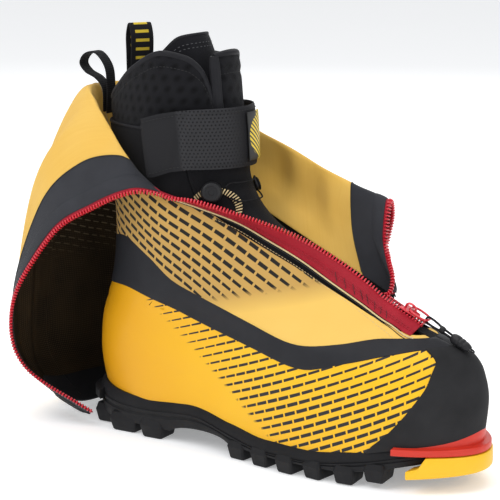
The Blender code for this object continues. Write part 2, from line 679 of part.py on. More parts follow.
def zip_edges(near, far):
    """For each half of the zip, the tape's fabric edge and its toothed edge, from the slider to the hem."""
    halves = []
    for stations, side in ((near, -1), (far, 1)):
        lane = side * (1.35 + TOOTH / 2)
        teeth = [zip_plane(x, lane) for x in (ZIP_X[0], 269, 261, 253, ZIP_X[1])]
        edge = [zip_plane(x, side * 13.0, -4.0) for x in (ZIP_X[0], 269, 261, 253, ZIP_X[1])]
        if side < 0:
            teeth += [at(*p) for p in ((233, -7, 137), (214, -12, 150), (190, -17, 162), (166, -23, 170.5),
                                       (144, -29, 177), (124, -36, 182.5), (108, -41, 186))]
            for x in (236, 214, 190, 166, 144, 124, 109):
                z = spline(NEAR_SEAM, x) + 1.0
                turn = turn_of(x, z, -1)
                edge.append(under(turn, z, -1.1))
        else:
            teeth += [at(246, 7, 128), at(243, 15, 137)]
            edge += [at(247.5, 17.5, 122), at(241, 20.5, 131)]
        for t in steps(24, 0.05 if side < 0 else 0.15, 0.99):
            s, inside = (0.0, 0.06) if side < 0 else (1.0, 0.94)
            p = station_point(stations, s, t)
            away = (p - station_point(stations, inside, t)).normalized()
            edge.append(p + away * 2.8 * MM)
            teeth.append(p + away * TAPE * MM)
        halves.append((edge, teeth))
    return halves


def resample(points, count):
    return [catmull(points, t) for t in steps(count)]


def bar(name, teeth, across, slot, size):
    """A square bar along a curve, one face turned to the directions given by across."""
    rings = []
    for i, (p, a) in enumerate(zip(teeth, across)):
        ahead = teeth[min(i + 1, len(teeth) - 1)] - teeth[max(i - 1, 0)]
        up = ahead.cross(a).normalized() * size * MM / 2
        side = a.normalized() * size * MM / 2
        rings.append([p + side + up, p - side + up, p - side - up, p + side - up])
    return loft(name, rings, slot)


def make_zip(near, far):
    for (edge, teeth), half in zip(zip_edges(near, far), ("near", "far")):
        edge, teeth = resample(edge, 48), resample(teeth, 48)
        across = [(e - t).normalized() for e, t in zip(edge, teeth)]
        inner = [t + a * (TOOTH / 2 + 1.6) * MM for t, a in zip(teeth, across)]
        plate_between("zip_tape_" + half, edge, inner, 0.8, "zip_red")
        bar("zip_teeth_" + half, teeth, across, "zip_red", TOOTH)


def plate_between(name, first, second, thickness, slot):
    """A ribbon between two curves."""
    grids = ([], [])
    for i, (a, b) in enumerate(zip(first, second)):
        ahead = second[min(i + 1, len(second) - 1)] - second[max(i - 1, 0)]
        square = ahead.cross(b - a).normalized() * thickness * MM / 2
        grids[0].append([a + square, b + square])
        grids[1].append([a - square, b - square])
    return slab(name, grids[0], grids[1], slot)


def block(name, frame, low, high, slot, chamfer=0.0):
    """A box in a frame, from its low to its high corner in mm, with its edges along the frame's X chamfered."""
    c = chamfer
    outline = ((low[1] + c, low[2]), (high[1] - c, low[2]), (high[1], low[2] + c), (high[1], high[2] - c),
               (high[1] - c, high[2]), (low[1] + c, high[2]), (low[1], high[2] - c), (low[1], low[2] + c))
    if not c:
        outline = outline[::2]
        outline = ((low[1], low[2]), (high[1], low[2]), (high[1], high[2]), (low[1], high[2]))
    rings = [[frame @ Vector((x * MM, y * MM, z * MM)) for y, z in outline] for x in (low[0], high[0])]
    return loft(name, rings, slot)


def zip_frame():
    """The slider's frame: X towards the toe along the zip, Z away from the boot."""
    along = (zip_plane(280, 0) - zip_plane(260, 0)).normalized()
    up = (zip_plane(270, 0, 5) - zip_plane(270, 0)).normalized()
    across = up.cross(along)
    matrix = Matrix((along, across, up)).transposed().to_4x4()
    return Matrix.Translation(zip_plane(SLIDER_X, 0)) @ matrix


def make_slider():
    frame = zip_frame()
    slider = block("zip_slider", frame, (-7, -4.9, 1.75), (7, 4.9, 3.0), "slider_red", 0.4)
    lower = block("lower", frame, (-7, -4.9, -3.0), (7, 4.9, -1.75), "slider_red", 0.4)
    post = block("post", frame, (-6.4, -0.9, -2.2), (-1.5, 0.9, 2.2), "slider_red")
    bail = tube("bail", [frame @ (Vector(p) * MM) for p in ((-3.6, 0, 2.4), (-3.4, 0, 5.4), (-1.6, 0, 6.9),
                                                            (1.6, 0, 6.9), (3.4, 0, 5.4), (3.6, 0, 2.4))],
                0.8, "slider_red", 6)
    join_union(slider, [lower, post, bail])
    pivot = frame @ (Vector((0, 0, 4.6)) * MM)
    centre = frame @ (Vector((RING_R, 0, 4.6)) * MM)
    turn = frame.to_3x3()
    ring = tube("zip_ring", [centre + turn @ (Vector((math.cos(a), math.sin(a), 0)) * RING_R * MM)
                             for a in (2 * math.pi * k / 24 for k in range(20))], RING_WIRE, "slider_red", 6, True)
    set_origin(ring, pivot)
    tip = Vector((2 * RING_R, 0, 4.6))
    bend = RING_WIRE + 0.4 + CORD_R
    path = [(22, 1.6), (13, bend * 1.02), (5, bend * 1.03), (1.2, bend * 1.01)]
    path += [(-bend * math.sin(a), bend * math.cos(a)) for a in steps(6, 0.15 * math.pi, 0.85 * math.pi)]
    path += [(1.2, -bend * 1.01), (5, -bend * 1.03), (13, -bend * 1.02), (22, -1.6)]
    strand = resample([frame @ ((tip + Vector((x, 0, z))) * MM) for x, z in path], 24)
    cord = tube("zip_cord", strand, CORD_R, "strap_black", 6)
    hook = frame @ (tip * MM)
    set_origin(cord, hook)
    grip_frame = frame @ Matrix.Translation(tip * MM)
    rings = []
    for x, wide, thick in ((22.4, 2.6, 3.2), (24, 3.6, 3.8), (30, 4.0, 3.6), (37, 3.6, 3.0), (40, 2.2, 2.2)):
        rings.append([grip_frame @ (Vector((x, wide * math.cos(a), thick * math.sin(a))) * MM)
                      for a in (2 * math.pi * k / 12 for k in range(12))])
    grip = loft("zip_grip", rings, "plastic_black")
    set_origin(grip, hook)
    return frame


def set_origin(target, point):
    """Moves an object's origin to a point on its joint's axis, leaving its shape where it is."""
    shift = Matrix.Translation(-(target.matrix_world.inverted() @ point))
    target.data.transform(shift)
    target.location = point


# ---------------------------------------------------------------- ankle closure, piping and loops
def make_dial():
    turn, z = DIAL_AT
    normal = skin_normal(turn, z)
    frame = axis_frame(under(turn, z, 2.0), normal)
    turned("dial_base", [(7.4, 2.6), (7.4, 3.4), (7.0, 4.0)], frame, "plastic_black", 28)
    turned("dial_knob", [(6.6, 4.4), (6.8, 6.6), (6.0, 7.4)], frame, "plastic_black", 28)
    set_origin(bpy.data.objects["dial_knob"], under(turn, z, 2.0) + normal * 4.4 * MM)
    guide_turn = 0.80
    guide = axis_frame(under(guide_turn, z, 2.0), skin_normal(guide_turn, z))
    turned("lace_guide", [(5.0, 0.2), (5.0, 3.2)], guide, "plastic_black", 16)
    reach = steps(8, -0.86, -1.17)
    upper = [under(t, z + 6.3, 0.9) for t in reach]
    lower = [under(t, z - 6.3, 0.9) for t in reach]
    around = [guide @ (Vector((6.3 * math.cos(a), 6.3 * math.sin(a), 1.7)) * MM) for a in
              [2 * math.pi * k / 16 for k in range(17)]]
    centre = guide @ Vector((0, 0, 1.7 * MM))
    towards = (upper[-2] + lower[-2]) / 2 - centre
    outer = sorted((p for p in around[:-1] if (p - centre).dot(towards) < 0.1 * 6.3 * MM * towards.length),
                   key=lambda p: -p.z)
    tube("dial_lace", upper[:-1] + outer + lower[:-1][::-1], 0.6, "strap_black", 6)


def make_piping():
    points = []
    for x in steps(26, 52, 276):
        z = spline(NEAR_SEAM, x) - 1.5
        points.append(under(turn_of(x, z, -1), z, -1.35))
    tube("vamp_piping", points, 0.85, "lining_yellow", 5)


def strap_loop(name, points, across, width, thickness, slot):
    """A webbing loop: a ribbon along points, its width along across."""
    rings = []
    for i, p in enumerate(points):
        ahead = (points[min(i + 1, len(points) - 1)] - points[max(i - 1, 0)]).normalized()
        square = ahead.cross(across).normalized() * thickness * MM / 2
        side = across.normalized() * width * MM / 2
        rings.append([p + side + square, p - side + square, p - side - square, p + side - square])
    return loft(name, rings, slot)


def make_loops():
    back = [at(x, -4, z) for x, z in ((6.2, 238), (6.9, 258), (5, 273), (-4, 283), (-14, 282), (-19, 275),
                                      (-14, 268.5), (-4, 264), (2.6, 256), (3.2, 239))]
    strap_loop("shell_pull_loop", resample(back, 28), Vector((0, 1, 0)), 10, 1.3, "strap_black")
    tall = [at(26.6 + 0.862 * q, 6.5 - 0.507 * q, z) for q, z in ((-4, 262), (-4.6, 282), (-5, 297), (0, 306),
                                                                  (5, 297), (4.6, 282), (3, 262))]
    strap_loop("bootie_pull_loop", resample(tall, 22), Vector((0.507, 0.862, 0)), 18, 1.3, "strap_black")
    set_origin(bpy.data.objects["shell_pull_loop"], at(4.7, -4, 239))
    set_origin(bpy.data.objects["bootie_pull_loop"], at(26.1, 6.8, 263))


def make_patch(near):
    sheet("gaiter_patch", near, (0.70, 0.97), (0.30, 0.44), "rubber_black", 5, 6, 1.0, -1.7)


def build():
    for old in list(bpy.data.objects):
        bpy.data.objects.remove(old)
    make_sole()
    make_welts()
    make_upper()
    near, far = make_gaiter()
    make_patch(near)
    make_zip(near, far)
    make_slider()
    make_dial()
    make_piping()
    make_loops()


build()
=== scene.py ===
import json
import math
from functools import lru_cache

import bmesh
import bpy
from mathutils import Matrix, Vector, noise


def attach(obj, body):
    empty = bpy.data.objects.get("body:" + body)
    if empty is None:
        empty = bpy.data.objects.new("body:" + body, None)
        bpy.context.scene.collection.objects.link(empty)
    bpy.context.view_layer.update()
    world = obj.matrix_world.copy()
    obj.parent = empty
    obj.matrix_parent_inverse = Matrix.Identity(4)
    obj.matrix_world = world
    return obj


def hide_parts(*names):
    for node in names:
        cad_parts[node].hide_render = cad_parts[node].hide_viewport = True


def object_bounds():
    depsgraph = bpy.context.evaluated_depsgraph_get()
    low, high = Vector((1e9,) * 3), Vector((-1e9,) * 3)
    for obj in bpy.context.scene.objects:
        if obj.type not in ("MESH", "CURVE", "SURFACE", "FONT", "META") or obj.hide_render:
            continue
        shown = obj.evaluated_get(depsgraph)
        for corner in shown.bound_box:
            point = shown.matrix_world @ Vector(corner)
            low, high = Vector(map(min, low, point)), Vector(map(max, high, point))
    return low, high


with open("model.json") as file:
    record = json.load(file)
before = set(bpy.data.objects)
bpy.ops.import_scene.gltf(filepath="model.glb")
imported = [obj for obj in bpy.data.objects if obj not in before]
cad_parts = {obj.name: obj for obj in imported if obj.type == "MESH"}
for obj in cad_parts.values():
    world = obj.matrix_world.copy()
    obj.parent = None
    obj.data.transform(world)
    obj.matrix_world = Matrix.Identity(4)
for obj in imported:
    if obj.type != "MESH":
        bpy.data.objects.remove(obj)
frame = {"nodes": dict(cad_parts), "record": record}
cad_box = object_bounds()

# ---------------------------------------------------------------- the boot's own surface, as in the CAD (mm)
MM = 0.001
HEEL_TO_ORIGIN = 45.0
TOE_X = 325.0
# height, back, front, lateral and medial half width, share of the foot's plan, length of the toe's rounding
LEVELS = (
    (14, 8, 314, 50, 47, 1.0, 0.22), (24, 5, 319, 51, 48, 1.0, 0.22), (40, 0, 323, 52, 49, 1.0, 0.22),
    (60, -3, TOE_X, 52, 49, 1.0, 0.23), (80, -2, 321, 50, 47.5, 1.0, 0.26), (93, 1, 311, 48, 46, 0.95, 0.34),
    (98, 3, 301, 47, 45, 0.9, 0.42), (103, 4, 286, 46, 44, 0.8, 0.52), (108, 6, 272, 45.5, 43.5, 0.65, 0.62),
    (114, 8, 260, 45, 43, 0.55, 0.67), (125, 10, 241, 43, 42, 0.4, 0.74), (140, 12, 214, 42, 41, 0.2, 0.80),
    (155, 13, 182, 41, 40, 0.1, 0.78), (170, 13, 154, 40, 39, 0.0, 0.66), (185, 12, 138, 40, 39, 0.0, 0.56),
    (205, 10, 129, 41, 40, 0.0, 0.52), (235, 7, 127, 43, 42, 0.0, 0.50), (265, 4, 124, 44, 43, 0.0, 0.50),
    (310, 2, 120, 44, 43, 0.0, 0.50),
)
FOOT_LATERAL = ((0.0, 0.70), (0.14, 0.72), (0.36, 0.76), (0.64, 1.0), (0.82, 0.93), (1.0, 0.80))
FOOT_MEDIAL = ((0.0, 0.72), (0.14, 0.73), (0.40, 0.68), (0.70, 1.0), (0.86, 1.0), (1.0, 0.94))
SOLE_TOP = ((-6, 36), (20, 31), (60, 29), (105, 32), (140, 25), (175, 20), (212, 20), (250, 25), (285, 32),
            (325, 38))
TREAD = ((-6, 5), (12, 0.5), (30, 0), (235, 0), (262, 4), (290, 10), (325, 17))
RAND_TOP = ((-6, 108), (36, 113), (73, 107), (118, 95), (165, 86), (208, 79), (240, 87), (270, 95), (288, 98),
            (325, 98.4))
BAND_TOP = ((-6, 136), (36, 150), (66, 138), (89, 123), (118, 114), (160, 103), (206, 93.5), (235, 97),
            (262, 101.5), (284, 101.8), (325, 101.8))
NEAR_SEAM = ((-6, 199), (50, 199), (72, 191), (103, 183), (130, 174), (158, 161), (190, 146.5), (214, 134),
             (235, 123), (256, 112), (278, 104), (325, 103))
FAR_SEAM = ((-6, 199), (20, 199), (60, 192), (100, 174), (140, 157), (180, 141), (214, 128), (236, 119.5),
            (256, 111), (278, 104), (325, 103))
NEAR_CUFF_TOP = ((0, 245), (14, 252), (30, 262), (52, 278), (80, 290), (98, 287), (108, 279), (113, 268),
                 (117, 254), (121, 238))
FAR_CUFF_TOP = ((0, 254), (30, 272), (60, 284), (95, 283), (107, 281), (117, 289), (124, 291))
TONGUE_TOP = ((80, 280), (94, 292), (108, 301), (125, 304))
SHAFT_TOP = 234.5
STRAP_LOW = ((50, 198), (72, 200), (90, 205.5), (104, 207.5), (130, 208))
STRAP_TOP = ((50, 237), (66, 243), (84, 248), (104, 251), (130, 252))
CAP_EDGE = ((14, 258), (27, 262), (41, 276), (61, 291), (78, 299), (90, 300), (98, 289))
GAITER = (
    ((86, -43.5, 188.5), (73, -46, 196), (58, -52, 199), (28, -58, 186), (-9, -62, 161), (-44, -62, 102),
     (-45, -54, 46), (8, -37, 9)),
    ((50, -41, 200), (46, -44.5, 216), (38, -46, 231), (6, -50, 226), (-28, -50, 186), (-56, -44, 104),
     (-58, -38, 44), (-14, -30, 9)),
    ((19, -26, 200.5), (11, -30, 232), (5, -28, 255), (-16, -30, 234), (-42, -30, 180), (-60, -22, 100),
     (-62, -20, 40), (-40, -20, 13)),
    # painted shade: paths 3 and 4 end low and forward, near the floor, so the near-black hem fills the gap
    # under the back, where the gaiter's inside lies in deep shade
    ((8, 0, 200.5), (-1, 0, 232), (-9, 0, 258), (-28, 0, 240), (-48, 0, 180), (-62, 0, 100), (-64, 0, 40),
     (-30, 2, 3.5)),
    ((20, 28, 200.5), (12, 34, 232), (8, 34, 256), (-14, 46, 230), (-34, 54, 170), (-46, 60, 96),
     (-46, 56, 40), (-22, 46, 4)),
    ((70, 43, 190.5), (62, 51, 216), (56, 55, 240), (40, 68, 206), (25, 80, 152), (12, 85, 90), (6, 82, 40),
     (4, 76, 10)),
    ((120, 37, 168.5), (118, 53, 194), (115, 56, 219), (112, 70, 190), (98, 81, 142), (72, 88, 90),
     (50, 84, 45), (38, 76, 12)),
    ((190, 28.5, 140.5), (178, 43, 169), (170, 51, 199), (170, 63, 178), (158, 76, 134), (122, 83, 90),
     (86, 80, 46), (56, 71, 14)),
    ((244, 19, 121), (220, 32, 154), (213, 45, 187), (206, 60, 170), (190, 70, 130), (158, 78, 88),
     (112, 77, 46), (72, 66, 15)),
)
BACK = 3.0                 # the path down the back, where the near half meets the far half
LAST = len(GAITER) - 1.0   # the path along the far half's zip; the near half's is 0
NEAR_BAND, FAR_BAND, HEM_T = 0.48, 7.4, 0.93
TAPE, TOOTH = 11.0, 2.4
ZIP_X, ZIP_Z, ZIP_SLOPE, SLIDER_X = (277.0, 245.0), 110.2, 0.5, 265.0
RING_R, RING_WIRE = 7.6, 0.85
DIAL_AT = (-0.748, 191.0)  # turn round the upper, and height


def at(x, y, z):
    return Vector(((x - HEEL_TO_ORIGIN) * MM, y * MM, z * MM))


def steps(count, low=0.0, high=1.0):
    return [low + (high - low) * i / count for i in range(count + 1)]


def circle(count):
    return [2 * math.pi * k / count for k in range(count)]


def runs(points):
    """The distance along a line at each of its points."""
    made = [0.0]
    for a, b in zip(points, points[1:]):
        made.append(made[-1] + (b - a).length)
    return made


@lru_cache(maxsize=None)
def slopes(knots):
    xs, ys = [k[0] for k in knots], [k[1] for k in knots]
    rise = [(ys[i + 1] - ys[i]) / (xs[i + 1] - xs[i]) for i in range(len(xs) - 1)]
    tangents = [rise[0]]
    for a, b in zip(rise, rise[1:]):
        tangents.append(0.0 if a * b <= 0 else 2 * a * b / (a + b))
    return xs, ys, tangents + [rise[-1]]


def spline(knots, x):
    """Height over x through the knots, smooth and without overshoot."""
    xs, ys, tangents = slopes(knots)
    if x <= xs[0]:
        return ys[0]
    if x >= xs[-1]:
        return ys[-1]
    i = 0
    while xs[i + 1] < x:
        i += 1
    h = xs[i + 1] - xs[i]
    s = (x - xs[i]) / h
    return ((1 + 2 * s) * (1 - s) ** 2 * ys[i] + s * (1 - s) ** 2 * h * tangents[i]
            + s * s * (3 - 2 * s) * ys[i + 1] + s * s * (s - 1) * h * tangents[i + 1])


LEVEL_KNOTS = [None] + [tuple((row[0], row[k]) for row in LEVELS) for k in range(1, 7)]
LEVEL_TABLE = [[spline(LEVEL_KNOTS[k], z / 4) for k in range(1, 7)] for z in range(0, 1400)]


def level(z, column):
    f = min(max(z, 0.0), 349.0) * 4
    i = int(f)
    low = LEVEL_TABLE[i][column - 1]
    return low + (LEVEL_TABLE[i + 1][column - 1] - low) * (f - i)


def catmull(points, t):
    n = len(points) - 1
    f = min(max(t, 0.0), 1.0) * n
    i = min(int(f), n - 1)
    s = f - i
    p1, p2 = points[i], points[i + 1]
    p0 = points[i - 1] if i > 0 else p1 * 2 - p2
    p3 = points[i + 2] if i + 2 <= n else p2 * 2 - p1
    return 0.5 * (2 * p1 + (p2 - p0) * s + (2 * p0 - 5 * p1 + 4 * p2 - p3) * s * s
                  + (3 * p1 - p0 - 3 * p2 + p3) * s ** 3)


def half_width(u, z, side):
    widest = level(z, 3 if side < 0 else 4)
    foot = spline(FOOT_LATERAL if side < 0 else FOOT_MEDIAL, u)
    weight = level(z, 5)
    front, back = level(z, 6), 0.20 + 0.30 * (1 - weight)
    rounding = 1.0
    if u < back:
        rounding = math.sqrt(max(0.0, 1 - (1 - u / back) ** 2))
    if u > 1 - front:
        rounding *= math.sqrt(max(0.0, 1 - (1 - (1 - u) / front) ** 2))
    return widest * (weight * foot + (1 - weight)) * rounding


def skin(turn, z):
    """The upper's outer surface: turn 0 at the back, -1 at the toe by the lateral side, +1 by the medial."""
    if abs(turn) > 1:
        turn -= 2 * math.copysign(1, turn)
    back, front = level(z, 1), level(z, 2)
    u = (1 - math.cos(math.pi * abs(turn))) / 2
    side = -1 if turn < 0 else 1
    return at(back + u * (front - back), side * half_width(u, z, side), z)


def turn_of(x, z, side):
    back, front = level(z, 1), level(z, 2)
    u = min(max((x - back) / (front - back), 0.0), 1.0)
    return side * math.acos(1 - 2 * u) / math.pi


def skin_normal(turn, z):
    step = 0.004
    along = skin(turn + step, z) - skin(turn - step, z)
    up = skin(turn, z + 0.5) - skin(turn, z - 0.5)
    return up.cross(along).normalized()


def under(turn, z, depth):
    return skin(turn, z) - skin_normal(turn, z) * depth * MM


def x_of(point):
    return point.x / MM + HEEL_TO_ORIGIN


@lru_cache(maxsize=None)
def line_height(turn, line):
    """Height at which the column at this turn meets a line drawn on the upper."""
    z = 80.0
    for _ in range(12):
        z = 0.5 * z + 0.5 * spline(line, x_of(skin(turn, z)))
    return z


# ---------------------------------------------------------------- materials
class Graph:
    """A material built from a Principled shader, with short calls for its nodes."""

    def __init__(self, name, colour, roughness, metallic=0.0, specular=0.5, sheen=0.0, coat=0.0):
        self.material = bpy.data.materials.new(name)
        self.material.use_nodes = True
        self.tree = self.material.node_tree
        self.shader = self.tree.nodes["Principled BSDF"]
        self.set("Base Color", (*colour, 1))
        self.set("Roughness", roughness)
        self.set("Metallic", metallic)
        self.set("Specular IOR Level", specular)
        if sheen:
            self.set("Sheen Weight", sheen)
            self.set("Sheen Roughness", 0.45)
        if coat:
            self.set("Coat Weight", coat)
            self.set("Coat Roughness", 0.2)
        self.height = None

    def set(self, name, value):
        self.shader.inputs[name].default_value = value

    def node(self, kind, settings=(), **inputs):
        made = self.tree.nodes.new("ShaderNode" + kind)
        for key, value in dict(settings).items():
            setattr(made, key, value)
        for key, value in inputs.items():
            socket = made.inputs[int(key[2:]) if key.startswith("i_") else key.replace("_", " ")]
            if isinstance(value, bpy.types.NodeSocket):
                self.tree.links.new(value, socket)
            else:
                socket.default_value = value
        return made

    def do(self, operation, a, b=0.0, c=None, clamp=False):
        values = {"i_0": a, "i_1": b}
        if c is not None:
            values["i_2"] = c
        return self.node("Math", {"operation": operation, "use_clamp": clamp}, **values).outputs[0]

    def both(self, a, b):
        return self.do("MULTIPLY", a, b)

    def plus(self, a, b):
        return self.do("ADD", a, b)

    def less(self, a, b):
        return self.do("SUBTRACT", a, b)

    def uv(self):
        """The print coordinates in mm."""
        made = self.node("UVMap", {"uv_map": "print"})
        split = self.node("SeparateXYZ", i_0=made.outputs[0])
        return self.both(split.outputs[0], 1000.0), self.both(split.outputs[1], 1000.0)

    def place(self):
        """Object coordinates, in metres."""
        return self.node("TexCoord").outputs["Object"]

    def noise(self, scale, detail=3.0, vector=None, rough=0.5):
        return self.node("TexNoise", Vector=vector or self.place(), Scale=scale, Detail=detail,
                         Roughness=rough).outputs["Fac"]

    def ramp(self, fac, *stops):
        made = self.node("ValToRGB", Fac=fac)
        ramp = made.color_ramp
        while len(ramp.elements) < len(stops):
            ramp.elements.new(0.5)
        for element, (position, colour) in zip(ramp.elements, stops):
            element.position = position
            element.color = (*colour, 1) if len(colour) == 3 else colour
        return made.outputs["Color"]

    def mix(self, fac, a, b, mode="MIX"):
        made = self.node("Mix", {"data_type": "RGBA", "blend_type": mode})
        for socket, value in ((made.inputs[0], fac), (made.inputs[6], a), (made.inputs[7], b)):
            if isinstance(value, bpy.types.NodeSocket):
                self.tree.links.new(value, socket)
            else:
                socket.default_value = (*value, 1) if hasattr(value, "__len__") and len(value) == 3 else value
        return made.outputs[2]

    def colour(self, socket):
        self.tree.links.new(socket, self.shader.inputs["Base Color"])

    def rough(self, fac, low, high):
        made = self.node("MapRange", Value=fac)
        made.inputs["To Min"].default_value, made.inputs["To Max"].default_value = low, high
        self.tree.links.new(made.outputs[0], self.shader.inputs["Roughness"])

    def bump(self, height, distance, strength=1.0):
        made = self.node("Bump", Height=height, Distance=distance, Strength=strength)
        if self.height:
            self.tree.links.new(self.height, made.inputs["Normal"])
        self.height = made.outputs[0]
        self.tree.links.new(self.height, self.shader.inputs["Normal"])

    def edge(self, value, soft):
        """0 to 1 as value passes 0, over a soft width."""
        return self.do("MULTIPLY_ADD", value, 1.0 / soft, 0.5, clamp=True)

    def above(self, a, b, soft):
        """0 to 1 as a passes b, over a soft width."""
        return self.edge(self.less(a, b), soft)

    def wave(self, value, pitch):
        return self.do("SINE", self.both(value, 2 * math.pi / pitch))

    def weave(self, u, v, pitch, depth=0.00012):
        self.bump(self.both(self.wave(u, pitch), self.wave(v, pitch)), depth)

    def dashes(self, u, v, degrees, pitch, period, duty, width, shift, bend=0.0, soft=0.25):
        """Rows of dashes: pitch between rows, period and duty along a row, shift from row to row."""
        c, s = math.cos(math.radians(degrees)), math.sin(math.radians(degrees))
        p = self.plus(self.both(u, c), self.both(v, s))
        q = self.plus(self.both(u, -s), self.both(v, c))
        if bend:
            q = self.plus(q, self.both(self.both(u, u), bend))
        lane = self.do("DIVIDE", q, pitch)
        row = self.do("FLOOR", lane)
        along = self.do("FRACT", self.do("DIVIDE", self.do("MULTIPLY_ADD", row, shift, p), period))
        first = self.edge(self.both(self.less(duty, along), period), soft)
        second = self.edge(self.both(along, period), soft)
        across = self.do("ABSOLUTE", self.less(self.do("FRACT", lane), 0.5))
        if not isinstance(width, bpy.types.NodeSocket):
            width = self.plus(width, 0.0)
        near = self.less(self.both(width, 0.5), self.both(across, pitch))
        return self.both(self.both(first, second), self.edge(near, soft))

    def dots(self, u, v, pitch, radius, soft=0.3):
        lane = self.do("DIVIDE", v, pitch * 0.866)
        row = self.do("FLOOR", lane)
        shift = self.both(self.do("MODULO", self.do("ABSOLUTE", row), 2.0), 0.5)
        a = self.less(self.do("FRACT", self.plus(self.do("DIVIDE", u, pitch), shift)), 0.5)
        b = self.both(self.less(self.do("FRACT", lane), 0.5), 0.866)
        far = self.do("SQRT", self.plus(self.both(a, a), self.both(b, b)))
        return self.above(radius, self.both(far, pitch), soft)


def make_materials():
    made = {}

    def keep(name, g):
        made[name] = g.material

    def plain(name, colour, roughness, tones, spread=None, grain=None, **more):
        """Two tones (noise scale and detail, dark, light), a spread of the roughness and a fine grain."""
        g = Graph(name, colour, roughness, **more)
        scale, detail, dark, light = tones
        g.colour(g.mix(g.noise(scale, detail), dark, light))
        if spread:
            g.rough(g.noise(spread[0]), *spread[1:])
        if grain:
            g.bump(g.noise(grain[0], grain[2] if len(grain) > 2 else 4.0), grain[1])
        keep(name, g)
        return g

    # lower shell: coated fabric, yellow, darker towards the bottom and darker orange-brown towards the heel,
    # with rows of dashes that thin out towards the heel
    g = Graph("rand_print", (0.9, 0.5, 0.02), 0.46, coat=0.08, specular=0.3)
    u, v = g.uv()
    tone = g.mix(g.noise(14.0, 2.0), (0.88, 0.46, 0.006), (0.92, 0.54, 0.010))
    low = g.above(42.0, v, 60.0)
    tone = g.mix(g.both(low, 0.3), tone, (0.76, 0.33, 0.004))
    # the print starts further forward lower down
    reach = g.do("MULTIPLY_ADD", v, 1.46, g.less(g.less(u, 14.0), 222.0))
    # towards the heel the colour darkens to orange-brown: partly the fabric's own orange, partly painted
    # shade on the rear, away from the light
    tone = g.mix(g.above(70.0, u, 190.0), tone, (0.66, 0.27, 0.005))
    width = g.do("MULTIPLY_ADD", g.edge(reach, 90.0), 1.9, 0.8)
    width = g.less(width, g.both(g.above(v, 66.0, 26.0), 0.9))
    dash = g.dashes(u, v, 12.0, 6.2, 10.7, 0.87, width, -3.6, bend=-0.0004)
    dash = g.both(dash, g.edge(reach, 6.0))
    g.colour(g.mix(dash, tone, (0.018, 0.018, 0.02)))
    g.rough(dash, 0.40, 0.6)
    g.bump(g.both(g.wave(u, 0.9), g.wave(v, 0.9)), 0.00004)
    g.bump(dash, 0.00008)
    keep("rand_print", g)

    # vamp: stretch fabric, tan where the dashes lie and light yellow at the front
    g = Graph("vamp_print", (0.8, 0.5, 0.12), 0.78, sheen=0.06, specular=0.15)
    u, v = g.uv()
    # the printed part lies above this line
    line = g.less(g.do("MULTIPLY_ADD", u, -0.222, v), 86.0)
    tone = g.mix(g.edge(g.plus(line, 6.0), 14.0), (0.84, 0.55, 0.14), (0.50, 0.315, 0.10))
    tone = g.mix(g.both(g.noise(30.0, 2.0), 0.25), tone, (0.80, 0.42, 0.06))
    width = g.do("MULTIPLY_ADD", g.edge(line, 45.0), 1.7, 1.1)
    dash = g.dashes(u, v, -28.0, 6.8, 10.4, 0.82, width, -6.54, soft=0.3)
    dash = g.both(dash, g.edge(line, 5.0))
    g.colour(g.mix(dash, tone, (0.02, 0.018, 0.016)))
    g.weave(u, v, 0.9, 0.00007)
    keep("vamp_print", g)

    # gaiter lining: soft yellow membrane fabric with fine vertical ribs
    g = Graph("lining", (0.84, 0.5, 0.11), 0.75, sheen=0.06, specular=0.15)
    u, v = g.uv()
    tone = g.mix(g.noise(22.0, 2.0), (0.80, 0.48, 0.085), (0.84, 0.56, 0.15))
    streak = g.noise(1.0, 2.0, g.node("CombineXYZ", i_0=g.both(u, 0.5),
                                      i_1=g.both(v, 0.02)).outputs[0])
    tone = g.mix(g.both(streak, 0.25), tone, (0.64, 0.28, 0.025))
    g.colour(tone)
    g.bump(g.both(g.wave(u, 1.1), g.wave(v, 0.8)), 0.00007)
    g.bump(streak, 0.0002, 0.5)
    keep("lining", g)

    # gaiter outside, seen inside the fold: coloured near black as painted shade for the deep shade in the
    # fold, with a mesh grid and light dashes
    g = Graph("gaiter_outside_painted_shade", (0.02, 0.016, 0.012), 0.85, specular=0.1)
    u, v = g.uv()
    dash = g.dashes(u, v, 14.0, 5.6, 9.5, 0.66, 0.9, 3.4)
    upper = g.above(190.0, v, 60.0)
    tone = g.mix(g.noise(40.0), (0.005, 0.004, 0.004), (0.045, 0.028, 0.012))
    grid = g.both(g.edge(g.wave(u, 1.7), 1.0), g.edge(g.wave(v, 1.7), 1.0))
    tone = g.mix(g.both(grid, 0.6), tone, (0.085, 0.062, 0.036))
    g.colour(g.mix(g.both(g.both(dash, upper), 0.85), tone, (0.42, 0.33, 0.20)))
    g.weave(u, v, 1.2, 0.0002)
    keep("gaiter_outside_painted_shade", g)

    for name, colour, rough, pitch in (("band_cloth", (0.026, 0.027, 0.032), 0.62, 0.8),
                                       ("garage_cloth", (0.007, 0.007, 0.008), 0.9, 1.0),
                                       ("hem_cloth", (0.008, 0.008, 0.009), 0.85, 1.3),
                                       ("shell_cloth", (0.004, 0.004, 0.005), 0.8, 1.0)):
        g = Graph(name, colour, rough, sheen=0.04, specular=0.16)
        u, v = g.uv()
        g.colour(g.mix(g.noise(60.0), colour, tuple(c * 1.7 for c in colour)))
        g.weave(u, v, pitch, 0.00012)
        keep(name, g)

    # welded film band
    g = Graph("band_film", (0.02, 0.02, 0.024), 0.6, specular=0.2)
    u, v = g.uv()
    g.colour(g.mix(g.noise(45.0), (0.012, 0.012, 0.015), (0.024, 0.025, 0.029)))
    g.rough(g.noise(80.0), 0.52, 0.7)
    g.bump(g.dots(u, v, 0.9, 0.25, 0.2), 0.00003)
    keep("band_film", g)

